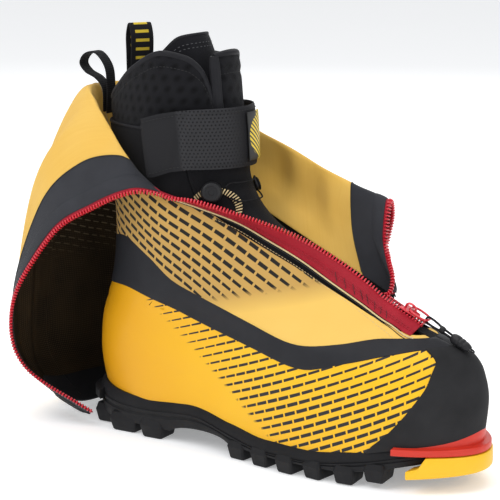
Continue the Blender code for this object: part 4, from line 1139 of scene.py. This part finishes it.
def make_gaiter():
    for name, node, spots, material, columns in (
            ("gaiter_lining_near", "gaiter_near", (NEAR_BAND, BACK), "lining", 50),
            ("gaiter_lining_far", "gaiter_far", (BACK, FAR_BAND), "lining", 84),
            ("gaiter_edge_near", "gaiter_band_near", (0.0, NEAR_BAND), "band_cloth", 18),
            ("gaiter_edge_far", "gaiter_band_far", (FAR_BAND, LAST), "band_cloth", 18)):
        piece, wide, tall = cloth_sheet(name, spots, (0.0, HEM_T), [material, "gaiter_outside_painted_shade"], columns, 90)
        own(piece, node)
        "vamp_near" if "near" in name else "vamp_far"
    for name, node, spots, columns in (("hem_near", "gaiter_hem_near", (0.0, BACK), 60),
                                       ("hem_far", "gaiter_hem_far", (BACK, LAST), 96)):
        piece, _, _ = cloth_sheet(name, spots, (HEM_T - 0.004, 1.0), ["hem_cloth"], columns, 12, 2.5)
        own(piece, node)
    patch, _, _ = cloth_sheet("fold_patch", (2.1, 2.95), (0.29, 0.45), ["garage_cloth"], 24, 24, 1.0, -1.5)
    own(patch, "gaiter_patch")
    # seams: where lining meets band, and down the back
    seam_ts = steps(150, 0.01, 0.925)
    for name, S, material, like in (("seam_near", NEAR_BAND, "thread_black", "gaiter_near"),
                                    ("seam_back", BACK, "thread_cream", "gaiter_near"),
                                    ("seam_far", FAR_BAND, "thread_black", "gaiter_far")):
        own(tube(name, cloth_line([(S, t) for t in seam_ts], 0.75), 0.42, [material], 6), like=like)
    segments = []
    for t in (HEM_T + 0.008, HEM_T + 0.052):
        segments += stitch_row(cloth_line([(S, t) for S in steps(160, 0.02, LAST - 0.02)], 1.3), 3.2)
    own(capsules("hem_stitches", segments, 0.32, "thread_grey"), like="gaiter_hem_near")


make_gaiter()


# ---------------------------------------------------------------- the zip
ZIP_STEPS = 240                                # points along each half


def zip_plane(x, y, lift=0.0):
    scale = math.hypot(1, ZIP_SLOPE)
    return at(x + lift * ZIP_SLOPE / scale, y, ZIP_Z + (ZIP_X[0] - x) * ZIP_SLOPE + lift / scale)


def along_seam(line, side, xs, rise, depth):
    """Points on the upper beside a seam: rise over the line and depth under the surface, in mm."""
    spots = [(x, spline(line, x) + rise) for x in xs]
    return [under(turn_of(x, z, side), z, depth) for x, z in spots]


@lru_cache(maxsize=None)
def zip_edges():
    """For each half of the zip, the line of its tape's sewn edge and the line of its teeth."""
    halves = []
    for side in (-1, 1):
        lane = side * (1.35 + TOOTH / 2)
        run = (ZIP_X[0], 269, 261, 253, ZIP_X[1])
        teeth = [zip_plane(x, lane) for x in run]
        if side < 0:
            edge = along_seam(NEAR_SEAM, -1, [min(x, 274) for x in run], -0.6, -0.2)
            teeth += [at(*p) for p in ((233, -7, 137), (214, -12, 150), (190, -17, 162), (166, -23, 170.5),
                                       (144, -29, 177), (124, -36, 182.5), (108, -41, 186))]
            edge += along_seam(NEAR_SEAM, -1, (236, 214, 190, 166, 144, 124, 109), -0.6, -0.4)
            S, inside, first = 0.0, 0.18, 0.05
        else:
            edge = [zip_plane(x, 13.0, -4.0) for x in run[:3]]
            edge += [zip_plane(run[3], 9.0, -2.5), zip_plane(run[4], 8.5, -1.5)]
            edge += [at(246, 13.0, 126), at(242, 18.0, 132.5)]
            teeth += [at(246, 7, 128), at(243, 15, 137)]
            S, inside, first = LAST, 7.7, 0.15
        for t in steps(24, first, 0.99):
            p = cloth_frame(S, round(t, 5))[0]
            away = (p - cloth_frame(inside, round(t, 5))[0]).normalized()
            edge.append(p - away * 1.2 * MM)
            teeth.append(p + away * TAPE * MM)
        halves.append((edge, teeth))
    return halves


def squares(edge, teeth):
    """The direction square to the tape at each pair of its points."""
    last = len(teeth) - 1
    ahead = [teeth[min(i + 1, last)] - teeth[max(i - 1, 0)] for i in range(len(teeth))]
    return [v.cross((t - e).normalized()).normalized() for v, e, t in zip(ahead, edge, teeth)]


def thickened(rows, half):
    """Two grids, a vector half to each side of the first."""
    return [[p + half for p in row] for row in rows], [[p - half for p in row] for row in rows]


def make_facings():
    """A charcoal facing folded over each ribbon, down to the teeth, where the gaiter hangs open."""
    for (edge, teeth), half in zip(zip_edges(), ("near", "far")):
        first = len(edge) - (24 if half == "near" else 27)
        edge, teeth = smooth_line(edge[first:], 120), smooth_line(teeth[first:], 120)
        outer, inner = [], []
        for e, t, square in zip(edge, teeth, squares(edge, teeth)):
            a = (t - e).normalized()
            row = []
            for c in steps(8):
                thin = 0.35 if c in (0.0, 1.0) else 0.5
                row.append(((e - a * 1.5 * MM).lerp(t - a * 3.3 * MM, c),
                            square * (0.55 + thin + 0.3 * math.sin(math.pi * c)) * MM))
            outer.append([spot + proud for spot, proud in row])
            inner.append([spot - proud for spot, proud in row])
        piece = slab("zip_facing_" + half, outer, inner, ["band_cloth"])
        own(piece, like="gaiter_band_" + half)


def make_gusset():
    """The far half's root: fabric down to the vamp's seam, and up to the ribbon beside the toe."""
    top = cloth_line([(S, 0.012) for S in steps(60, 4.6, LAST)], 0.0)
    low = [p + Vector((0.0, -1.2, -9.0)) * MM for p in top]
    rows = [[a.lerp(b, c) for a, b in zip(top, low)] for c in steps(6)]
    own(slab("gaiter_root", *thickened(rows, Vector((0, 0.35 * MM, 0))), ["garage_cloth"]), like="gaiter_far")
    edge = smooth_line(zip_edges()[1][0], ZIP_STEPS)
    rows = []
    for t in steps(24, 0.0, 0.2):
        p = cloth_frame(LAST, round(t, 5))[0]
        inside = cloth_frame(7.85, round(t, 5))[0]
        near = min(edge, key=lambda q: (q - p).length)
        a, b = p + (inside - p).normalized() * 1.0 * MM, near + (near - p).normalized() * 1.0 * MM
        rows.append([a.lerp(b, c) for c in steps(5)])
    across = Vector((0.5, -0.8, 0.3)).normalized() * 0.4 * MM
    own(slab("gaiter_root_facing", *thickened(rows, across), ["band_cloth"]), like="gaiter_band_far")


def tooth_template():
    """One moulded tooth: a rounded body across the tape's edge with a narrower head."""
    bm = bmesh.new()
    bmesh.ops.create_cube(bm, size=1.0)
    bmesh.ops.scale(bm, vec=(3.2, 1.35, 2.7), verts=bm.verts)
    bmesh.ops.bevel(bm, geom=bm.edges[:], offset=0.35, segments=2, affect="EDGES", profile=0.5)
    verts = [v.co.copy() for v in bm.verts]
    for v in verts:
        if v.x > 0.2:
            v.y *= 0.72
    faces = [[v.index for v in f.verts] for f in bm.faces]
    bm.free()
    return verts, faces


def make_teeth(name, teeth, across, first):
    """A comb of teeth, every second place along the line, from the first."""
    verts, faces = tooth_template()
    line = resample(teeth, TOOTH / 2 + 0.05)
    last = len(line) - 1
    bm, _ = blank()
    for i in range(first, last, 2):
        ahead = (line[i + 1] - line[max(i - 1, 0)]).normalized()
        a = across[round(ZIP_STEPS * i / last)]
        a = (a - ahead * a.dot(ahead)).normalized()
        up = a.cross(ahead)
        made = [bm.verts.new(line[i] + (a * v.x + ahead * v.y + up * v.z) * MM) for v in verts]
        for f in faces:
            bm.faces.new([made[k] for k in f])
    return finish_mesh(name, bm, ["zip_teeth"], 50)


def make_ties(rows, teeth):
    """Dark stitches across the near ribbon, over the smooth part beside the toe."""
    ties = []
    for i in range(20, ZIP_STEPS, 2):
        x = x_of(teeth[i])
        new_place = int(x / 5.6) != int(x_of(teeth[i + 2]) / 5.6)
        if 212 < x < 274 and new_place and teeth[i].z < 0.16:
            row, square = rows[i]
            ahead = (teeth[i + 1] - teeth[i - 1]).normalized()
            for sign in (1, -1):
                proud = square * sign * 0.75 * MM
                ties.append((row[0].lerp(row[-1], 0.12) + proud - ahead * 1.2 * MM,
                             row[0].lerp(row[-1], 0.5) + proud + ahead * 1.2 * MM))
    own(capsules("zip_ties", ties, 0.2, "thread_black"), like="zip_tape_near")


def make_zip():
    for (edge, teeth), half, sign, first in zip(zip_edges(), ("near", "far"), (1, -1), (0, 1)):
        tape_node = "zip_tape_" + half
        edge, teeth = smooth_line(edge, ZIP_STEPS), smooth_line(teeth, ZIP_STEPS)
        across = [(t - e).normalized() for e, t in zip(edge, teeth)]
        rows = []
        for e, t, a, square in zip(edge, teeth, across, squares(edge, teeth)):
            # the tape is stitched down along its edge and stands up a little in the middle
            row = [e.lerp(t - a * 0.9 * MM, c)
                   + square * 0.35 * math.sin(math.pi * min(c * 1.3, 1.0)) * sign * MM for c in steps(10)]
            rows.append((row, square))
        outer = [[p + s * 0.45 * MM for p in row] for row, s in rows]
        inner = [[p - s * 0.45 * MM for p in row] for row, s in rows]
        own(slab("zip_ribbon_" + half, outer, inner, ["zip_tape"]), tape_node)
        segments = []
        for share in (0.30, 0.42):
            for face in (1, -1):
                line = [row[0].lerp(row[-1], share) + s * face * 0.7 * MM for row, s in rows]
                segments += stitch_row(line, 2.6, 0.6)
        own(capsules("zip_stitches_" + half, segments, 0.24, "thread_red"), like=tape_node)
        if half == "near":
            make_ties(rows, teeth)
        bead = [t - a * 1.4 * MM for t, a in zip(teeth, across)]
        own(tube("zip_bead_" + half, bead, 0.6, ["zip_tape"], 8), like=tape_node)
        own(make_teeth("zip_comb_" + half, teeth, across, first), "zip_teeth_" + half)


make_zip()
make_facings()
make_gusset()


def zip_frame():
    along = (zip_plane(280, 0) - zip_plane(260, 0)).normalized()
    up = (zip_plane(270, 0, 5) - zip_plane(270, 0)).normalized()
    matrix = Matrix((along, up.cross(along), up)).transposed().to_4x4()
    return Matrix.Translation(zip_plane(SLIDER_X, 0)) @ matrix


def extrude_outline(bm, place, outline, low, high):
    """A flat plate in a frame: an outline of (x, y) in mm between two heights."""
    add_bar(bm, [[place @ (Vector((x, y, z)) * MM) for x, y in outline] for z in (low, high)], flipped=True)


def squared(angle, power):
    """A point of a rounded square on a circle's angle; a lower power is squarer."""
    return tuple(math.copysign(abs(f(angle)) ** power, f(angle)) for f in (math.cos, math.sin))


def make_slider():
    f = zip_frame()
    bm, _ = blank()
    side = ((-7, -4.9), (-2, -4.9), (4.2, -3.7), (7, -3.6), (7.6, -2.4))
    plate = side + tuple((x, -y) for x, y in side[::-1]) + ((-5.6, 1.6), (-5.2, 0), (-5.6, -1.6))
    extrude_outline(bm, f, plate, 1.75, 3.0)
    extrude_outline(bm, f, plate, -3.0, -1.75)
    extrude_outline(bm, f, ((-5.4, -0.9), (-1.5, -0.5), (-1.5, 0.5), (-5.4, 0.9)), -2.2, 2.2)
    for y in (-4.3, 4.3):
        extrude_outline(bm, f, ((-6.2, y - 0.5), (2.0, y - 0.6), (2.0, y + 0.4), (-6.2, y + 0.5)), -2.9, -1.2)
    own(finish_mesh("slider_body", bm, ["red_paint"], 30, 0.35), "zip_slider")
    bail = smooth_line([f @ (Vector((x, 0, z)) * MM) for x, z in ((-4.2, 2.6), (-4.0, 5.2), (-2.0, 6.9),
                                                                 (1.6, 6.9), (3.6, 5.2), (4.0, 2.6))], 30)
    own(tube("slider_bail", bail, 0.8, ["red_paint"], 10), like="zip_slider")

    ring_half_width, ring_height = 5.4, 4.6
    points = []
    for a in circle(64):
        x, y = RING_R * squared(a, 0.8)[0], ring_half_width * squared(a, 0.7)[1]
        points.append(f @ (Vector((RING_R + x, y, ring_height)) * MM))
    own(tube("pull_ring", points, RING_WIRE, ["red_paint"], 10, True), "zip_ring")

    # the cord runs from the grip round the ring's end and back
    tip = Vector((2 * RING_R, 0, ring_height))
    bend = 2.3
    strand = [(24, 1.15), (18, 1.2), (12, 1.5), (6, bend * 0.98), (2.4, bend * 1.03)]
    turn = [(0.6 - bend * math.sin(a), bend * math.cos(a)) for a in steps(10, 0.04 * math.pi, 0.96 * math.pi)]
    path = strand + turn + [(x, -z) for x, z in strand[::-1]]
    route = resample(smooth_line([f @ ((tip + Vector((x, 0, z))) * MM) for x, z in path], 160), count=90)
    cord = tube("pull_cord", route, 0.85, ["cord_braid"], 10)
    own(cord, "zip_cord")

    # sleeve and grip: rounded sections (place along the cord, half width, half thickness) on it
    g = f @ Matrix.Translation(tip * MM)
    for name, sides, power, bevel, sections in (
            ("cord_sleeve", 20, 1.0, 0.2, (
                (10.5, 1.5, 2.3), (11.0, 1.9, 2.7), (13.5, 1.9, 2.7), (14.2, 1.7, 2.4))),
            ("pull_grip", 28, 0.75, 0.15, (
                (20.6, 1.9, 2.2), (21.2, 2.5, 2.8), (22.4, 3.2, 3.2), (24, 3.8, 3.5), (27, 4.1, 3.5),
                (27.4, 3.8, 3.2), (28.2, 3.8, 3.2), (28.6, 4.1, 3.4), (30.5, 4.0, 3.3), (30.9, 3.7, 3.0),
                (31.7, 3.7, 3.0), (32.1, 3.9, 3.1), (34.5, 3.4, 2.7), (36.4, 2.5, 2.1), (37, 1.9, 1.7)))):
        outline = [squared(a, power) for a in circle(sides)]
        rings = [[g @ (Vector((x, wide * c, thick * s)) * MM) for c, s in outline]
                 for x, wide, thick in sections]
        grip = loft(name, rings, ["moulded_black"], 40, bevel)
        own(grip, *(("zip_grip",) if name == "pull_grip" else ()), like="zip_grip")
    loop = [g @ (Vector((36.4 + x, y, 0)) * MM) for x, y in
            ((0, 1.3), (1.6, 1.9), (3.2, 1.3), (3.8, 0), (3.2, -1.3), (1.6, -1.9), (0, -1.3))]
    own(tube("grip_loop", smooth_line(loop, 30), 0.55, ["moulded_black"], 8), like="zip_grip")
    runs(route)[-1]


make_slider()


# ---------------------------------------------------------------- inner boot
PAD_EDGE = 0.02                                # share of a pad's height in its rolled edge


def pad(name, depth, low, high, turn_at, materials, rows, columns, bulge, lean, quilt):
    """A padded panel: its faces swell between its edges and draw in along its sewn lines."""
    rs, cs = fine_steps(rows, PAD_EDGE), fine_steps(columns, 0.008)
    outer, inner, heights = [[] for _ in rs], [[] for _ in rs], [[] for _ in rs]
    middle = (depth[0] + depth[1]) / 2
    half = (depth[1] - depth[0]) / 2
    for i, r in enumerate(rs):
        for c in cs:
            turn, z = upper_point(turn_at, low, high, r, c, 0.0, 0.0)
            base, normal = skin(turn, z), skin_normal(turn, z)
            swell = (min(1.0, r / 0.10) * min(1.0, (1 - r) / 0.10)) ** 0.5
            swell *= (min(1.0, c / 0.05) * min(1.0, (1 - c) / 0.05)) ** 0.5
            thick = half * (0.30 + 0.70 * swell) - quilt(r, z)
            shift = Vector((-lean * max(0.0, z * MM - 0.232), 0, 0))
            outer[i].append(base - normal * (middle - thick - bulge * swell) * MM + shift)
            inner[i].append(base - normal * (middle + thick + 0.6 * bulge * swell) * MM + shift)
            heights[i].append(z * MM)
    uv = [list(zip(runs(row), zs)) for row, zs in zip(outer, heights)]
    return slab(name, outer, inner, materials, uv, 60), outer, inner


def groove(value, at_, width, depth):
    return depth * math.exp(-((value - at_) / width) ** 2)


def sewn_row(outer, inner, share, proud, *stitch):
    """Stitches along the row of a pad nearest to a share of its height."""
    shares = fine_steps(len(outer) - 3, PAD_EDGE)
    row = min(range(len(outer)), key=lambda i: abs(shares[i] - share))
    line = [p + (p - q).normalized() * proud * MM for p, q in zip(outer[row], inner[row])]
    return stitch_row(line, *stitch)


def binding_radius(width):
    """The radius of a binding of this width, which thins towards its ends."""
    return lambda share: width * (0.75 + 0.25 * min(1, share * 12, (1 - share) * 12))


def make_pads():
    near, out_n, in_n = pad("cuff_near", (5.9, 10.3), flat_line(206.5), NEAR_CUFF_TOP, between(-0.84, -0.008),
                            ["boot_mesh", "felt"], 34, 60, 0.5, 0,
                            lambda r, z: groove(z, 232, 2.0, 0.7) + groove(r, 0.9, 0.03, 0.5))
    own(near, "bootie_cuff_near")
    far, out_f, in_f = pad("cuff_far", (5.9, 10.3), flat_line(206.5), FAR_CUFF_TOP, between(0.008, 1.14),
                           ["boot_mesh", "boot_mesh"], 34, 76, 0.6, 0,
                           lambda r, z: groove(z, 230, 2.0, 0.7) + groove(r, 0.84, 0.03, 1.0))
    own(far, "bootie_cuff_far")
    tongue, out_t, in_t = pad("tongue_pad", (12.9, 16.3), flat_line(187), TONGUE_TOP,
                              round_front(-0.60, 0.76), ["boot_cloth", "felt"], 40, 36, 0.5, 0.24,
                              lambda r, z: groove(r, 0.935, 0.010, 0.5) + groove(r, 0.965, 0.008, 0.4)
                              + groove(r, 0.62, 0.02, 0.5))
    own(tongue, "bootie_tongue")
    for tag, outer, inner, top, back, node in (("near", out_n, in_n, 2.3, 1.8, "bootie_cuff_near"),
                                               ("far", out_f, in_f, 2.6, 4.2, "bootie_cuff_far"),
                                               ("tongue", out_t, in_t, 1.3, 1.8, "bootie_tongue")):
        middle = [[(p + q) / 2 for p, q in zip(*rows)] for rows in zip(outer, inner)]
        for place, line, width in (("top", middle[-1], top), ("front", [row[0] for row in middle], 1.8),
                                   ("back", [row[-1] for row in middle], back)):
            own(tube(f"binding_{tag}_{place}", resample(line, 1.5), binding_radius(width), ["binding"], 10),
                like=node)
    segments = sewn_row(out_t, in_t, 0.925, 0.15, 3.4, 0.5) + sewn_row(out_t, in_t, 0.962, 0.15, 3.4, 0.5)
    own(capsules("tongue_stitches", segments, 0.28, "thread_grey"), like="bootie_tongue")
    segments = sewn_row(out_n, in_n, 0.90, 0.1, 2.8) + sewn_row(out_f, in_f, 0.84, 0.1, 2.8)
    own(capsules("cuff_stitches", segments, 0.26, "thread_black"), like="bootie_cuff_near")


def make_inner_wall():
    """The inner boot's own wall, seen from above, with its quilted inside, its sole and the footbed."""
    heights = [30, 40, 52, 66, 80, 92, 101, 109, 118, 128, 138, 148, 158, 168, 178, 188, 198, 205.4]
    outer, inner = [], []
    for i, height in enumerate(heights):
        spots = []
        for turn in steps(96, -1, 1)[:-1]:
            # the lowest rows follow the sole
            rise = spline(SOLE_TOP, x_of(skin(turn, height))) - 20.0
            spots.append((turn, height + rise * max(0.0, 1 - i / 4)))
        outer.append([under(turn, z, 7.1) for turn, z in spots])
        # the inside swells between quilted lines, and turns in at the foot
        quilt = [0.2 * math.cos(math.pi * (z - 205) / 18) if z > 90 else 0.0 for _, z in spots]
        inner.append([under(turn, z + (3 if i < 2 else 0), 11.3 - soft + (4 if i == 0 else 0))
                      for (turn, z), soft in zip(spots, quilt)])
    wall = slab("inner_boot_wall", outer, inner, ["boot_cloth", "felt"], None, 60, 0, True)
    sole = sole_loft("inner_boot_sole", over_sole(7.4), over_sole(11.4),
                     [(0.0, 18.0), (0.2, 13.5), (0.8, 13.0), (1.0, 15.0), (1.0, 22.0)], ["felt"], 14.0, 60)
    own(wall, "bootie_body")
    own(sole, like="bootie_body")
    bed = sole_loft("footbed_sheet", over_sole(13.6), over_sole(16.2),
                    [(0.0, 26.0), (0.0, 20.8), (0.5, 20.0), (1.0, 20.6), (1.0, 26.0)], ["felt"], 20.0, 60,
                    0.02, 0.98)
    own(bed, "footbed")


make_pads()
make_inner_wall()


def band_strip(name, depth, low, high, turn_at, materials, rows, columns, relief=None, edge=0.3):
    return upper_panel(name, depth, low, high, turn_at, materials, rows, columns, (0, 0), relief,
                       edge, start_uv=0, lean=False)


def make_strap():
    def relief(x, z, r, c):
        crease = groove(c, 0.19 + 0.08 * r, 0.04, 0.9) - groove(c, 0.13 + 0.10 * r, 0.016, 1.5)
        return crease * (0.35 + 0.65 * r) + 0.3 * math.sin(9 * c) - 0.5 * (2 * r - 1) ** 2

    strap = band_strip("ankle_strap", (-2.9, -1.3), STRAP_LOW, STRAP_TOP, round_front(-0.50, 0.66),
                       ["strap_web"], 20, 90, relief)
    own(strap, "bootie_strap")
    tab = band_strip("strap_print_tab", (-4.9, -3.8), flat_line(212), flat_line(247),
                     round_front(-0.985, 0.86), ["tab_print"], 16, 24, None, 0.4)
    own(tab, "strap_tab")
    segments = []
    for line, drop in ((STRAP_LOW, 3.0), (STRAP_TOP, -3.0)):
        turns = [-0.51 - 0.82 * c for c in steps(60)]
        segments += stitch_row([under(turn, line_height(turn, line) + drop, -3.0) for turn in turns], 3.0)
    own(capsules("strap_stitches", segments, 0.28, "thread_black"), like="bootie_strap")
    hinge = [under(-0.497, z, -0.9) for z in steps(20, 200, 238.5)]
    own(tube("strap_anchor", hinge, 1.1, ["binding"], 8), like="bootie_strap")


make_strap()


# ---------------------------------------------------------------- dial, lace, piping and loops
def axis_frame(origin, direction):
    return Matrix.Translation(origin) @ direction.to_track_quat("Z", "Y").to_matrix().to_4x4()


def on_circle(place, radius, angle, height):
    return place @ (Vector((radius * math.cos(angle), radius * math.sin(angle), height)) * MM)


def turned(name, profile, place, sides=64, ribs=0, rib_depth=0.0, rib_rows=()):
    """A turned part from (radius, height) in mm, with ribs round some of its rows."""
    rings = []
    for i, (r, h) in enumerate(profile):
        half = rib_depth / 2 if i in rib_rows else 0.0
        rings.append([on_circle(place, r - half - half * math.cos(ribs * a), a, h) for a in circle(sides)])
    return loft(name, rings, ["moulded_black"], 30)


def make_dial():
    turn, z = DIAL_AT
    place = axis_frame(under(turn, z, 2.0), skin_normal(turn, z))
    own(turned("dial_housing", [(6.4, -1.0), (7.8, -0.6), (8.0, 0.6), (7.8, 2.2), (7.5, 3.2), (7.0, 3.9),
                                (6.2, 4.1)], place), "dial_base")
    own(turned("dial_cap", [(6.0, 4.3), (6.6, 4.5), (6.8, 5.0), (6.8, 6.4), (6.5, 7.0), (5.8, 7.4),
                            (4.4, 7.4), (4.1, 7.1), (2.2, 7.0), (1.9, 7.3), (0.3, 7.4)],
               place, sides=144, ribs=30, rib_depth=0.4, rib_rows=(2, 3)), "dial_knob")
    guide_turn = 0.80
    guide = axis_frame(under(guide_turn, z, 2.0), skin_normal(guide_turn, z))
    own(turned("lace_pulley", [(4.6, -0.6), (5.2, 0.3), (5.0, 1.1), (4.4, 1.7), (5.0, 2.3), (5.1, 2.9),
                               (4.4, 3.4), (0.4, 3.5)], guide, 48), "lace_guide")

    # the lace runs from the dial round the front of the ankle, round the guide and back
    upper, lower = [[under(t, z + rise, 0.9) for t in steps(24, -0.86, -1.17)] for rise in (6.3, -6.3)]
    groove_height, loop_radius = 1.7, 6.0
    centre = on_circle(guide, 0.0, 0.0, groove_height)
    around = [on_circle(guide, loop_radius, a, groove_height) for a in circle(32)]
    towards = (upper[-3] + lower[-3]) / 2 - centre
    outer = sorted((p for p in around if (p - centre).dot(towards) < 0.63 * MM * towards.length),
                   key=lambda p: -p.z)
    start, end = [under(-0.83, z + rise, 1.2) for rise in (4.0, -4.0)]
    route = [start] + upper[:-2:4] + outer[::2] + lower[:-2:4][::-1] + [end]
    own(tube("closure_lace", resample(smooth_line(route, 160), 0.9), 0.6, ["cord_braid"], 8), "dial_lace")


def make_rays():
    """Printed rays round the closure, down to the seam of the vamp."""
    centre_x, centre_z = 118, 174.0
    bm, _ = blank()
    for a in circle(60):
        c, s = math.cos(a), math.sin(a)
        ray = []
        for radius, w in ((17.0, 0.30), (20.6, 0.42)):
            for sign in (-1, 1):
                x, z = radius * c - sign * w * s, centre_z + (radius * s + sign * w * c)
                ray.append((turn_of(centre_x + 0.9 * x, z, -1), z))
        if min(h - spline(NEAR_SEAM, x_of(skin(s, h))) for s, h in ray) < 3.0:
            continue
        low = [bm.verts.new(under(s, h, 3.4)) for s, h in ray]
        high = [bm.verts.new(under(s, h, 1.9)) for s, h in ray]
        bm.faces.new([high[i] for i in (0, 1, 3, 2)])
        bm.faces.new([low[i] for i in (2, 3, 1, 0)])
        for i, j in ((0, 1), (1, 3), (3, 2), (2, 0)):
            bm.faces.new((high[i], low[i], low[j], high[j]))
    own(finish_mesh("dial_rays", bm, ["thread_cream"], 30), like="shell_tongue")


make_dial()
make_rays()


def make_piping():
    near, far = (NEAR_SEAM, -1), (FAR_SEAM, 1)
    cream = tube("vamp_cord", along_seam(*near, steps(160, 52, 277), -1.5, -0.7), 0.62, ["thread_cream"])
    own(cream, "vamp_piping")
    for name, seam, xs, rise, depth, radius, sides, like in (
            ("vamp_cord_dark", near, steps(160, 52, 277), -2.5, -0.3, 0.3, 10, "vamp_piping"),
            ("far_seam_cord", far, steps(200, 12, 276), 1.2, 0.2, 1.3, 8, "vamp_far"),
            ("near_seam_cord", near, steps(80, 8, 100), 1.0, 0.2, 1.3, 8, "vamp_near")):
        line = along_seam(*seam, xs, rise, depth)
        own(tube(name, line, radius, ["thread_black"], sides), like=like)
    segments = stitch_row(along_seam(NEAR_SEAM, -1, steps(160, 60, 272), -5.2, -0.15), 2.6)
    own(capsules("vamp_stitches", segments, 0.2, "thread_cream"), like="vamp_near")


make_piping()


def webbing(name, points, across, width, thickness, materials):
    """A flat woven strip along points, with soft edges."""
    outer, inner, uv = [], [], []
    half = ((-1, 0.5), (-0.97, 0.85), (-0.9, 1), (-0.5, 1))
    section = half + ((0, 1),) + tuple((-c, thin) for c, thin in half[::-1])
    for i, (p, run) in enumerate(zip(points, runs(points))):
        ahead = (points[min(i + 1, len(points) - 1)] - points[max(i - 1, 0)]).normalized()
        square = ahead.cross(across).normalized()
        row = [(p + across * c * width / 2 * MM, square * thin * thickness / 2 * MM) for c, thin in section]
        outer.append([spot + proud for spot, proud in row])
        inner.append([spot - proud for spot, proud in row])
        uv.append([(c * width / 2 * MM, run) for c, _ in section])
    return slab(name, outer, inner, materials, uv, 50)


LOOP_ACROSS = (0.507, 0.862, 0)                # the top loop's width runs this way


def make_loops():
    back = [at(x, -4, z) for x, z in ((6.2, 238), (6.9, 258), (5, 273), (-4, 283), (-14, 282), (-19, 275),
                                      (-14, 268.5), (-4, 264), (2.6, 256), (3.2, 239))]
    own(webbing("rear_webbing_loop", smooth_line(back, 90), Vector((0, 1, 0)), 10, 1.3, ["webbing"]),
        "shell_pull_loop")
    tall = [at(26.6 + LOOP_ACROSS[1] * q, 6.5 - LOOP_ACROSS[0] * q, z)
            for q, z in ((-4, 262), (-4.6, 282), (-5, 297), (0, 306), (5, 297), (4.6, 282), (3, 262))]
    own(webbing("top_webbing_loop", smooth_line(tall, 80), Vector(LOOP_ACROSS), 18, 1.3, ["loop_web"]),
        "bootie_pull_loop")


make_loops()


# ---------------------------------------------------------------- camera, lights and floor
def place_in_scene(name, data, location, direction):
    made = bpy.data.objects.new(name, data)
    made.location = location
    made.rotation_mode = "QUATERNION"
    made.rotation_quaternion = direction.to_track_quat("-Z", "Y")
    bpy.context.scene.collection.objects.link(made)
    return made


def make_stage():
    aim = Vector((0.086, 0.0, 0.1455))
    azimuth, elevation, distance = math.radians(34), math.radians(12), 1.4
    back = Vector((math.sin(azimuth) * math.cos(elevation), -math.cos(azimuth) * math.cos(elevation),
                   math.sin(elevation)))
    camera = place_in_scene("camera", bpy.data.cameras.new("camera"), aim + back * distance, -back)
    sensor, lens_over_sensor = 36.0, 3.81
    camera.data.sensor_width, camera.data.lens = sensor, lens_over_sensor * sensor
    camera.data.clip_start, camera.data.clip_end = 0.05, 30.0
    bpy.context.scene.camera = camera
    lit = Vector((0.08, 0, 0.12))
    for name, place, size, power in (("key", (-0.5, -1.3, 1.7), 1.3, 17), ("top", (0.2, 0.1, 1.9), 1.6, 11),
                                     ("side", (1.7, -0.5, 0.9), 1.2, 7), ("rear", (-0.7, 1.6, 1.2), 1.4, 8)):
        data = bpy.data.lights.new(name, "AREA")
        data.size, data.energy = size, power
        place_in_scene(name, data, place, lit - Vector(place))
    world = bpy.data.worlds.new("studio")
    world.use_nodes = True
    world.node_tree.nodes["Background"].inputs[0].default_value = (0.97, 0.985, 1.0, 1)
    world.node_tree.nodes["Background"].inputs[1].default_value = 0.6
    bpy.context.scene.world = world
    bpy.context.scene.view_settings.view_transform = "Standard"
    bm = bmesh.new()
    bmesh.ops.create_grid(bm, x_segments=8, y_segments=8, size=6.0)
    floor = finish_mesh("floor", bm, ["studio_floor"])
    floor.location.z = cad_box[0][2] - 0.0002


make_stage()
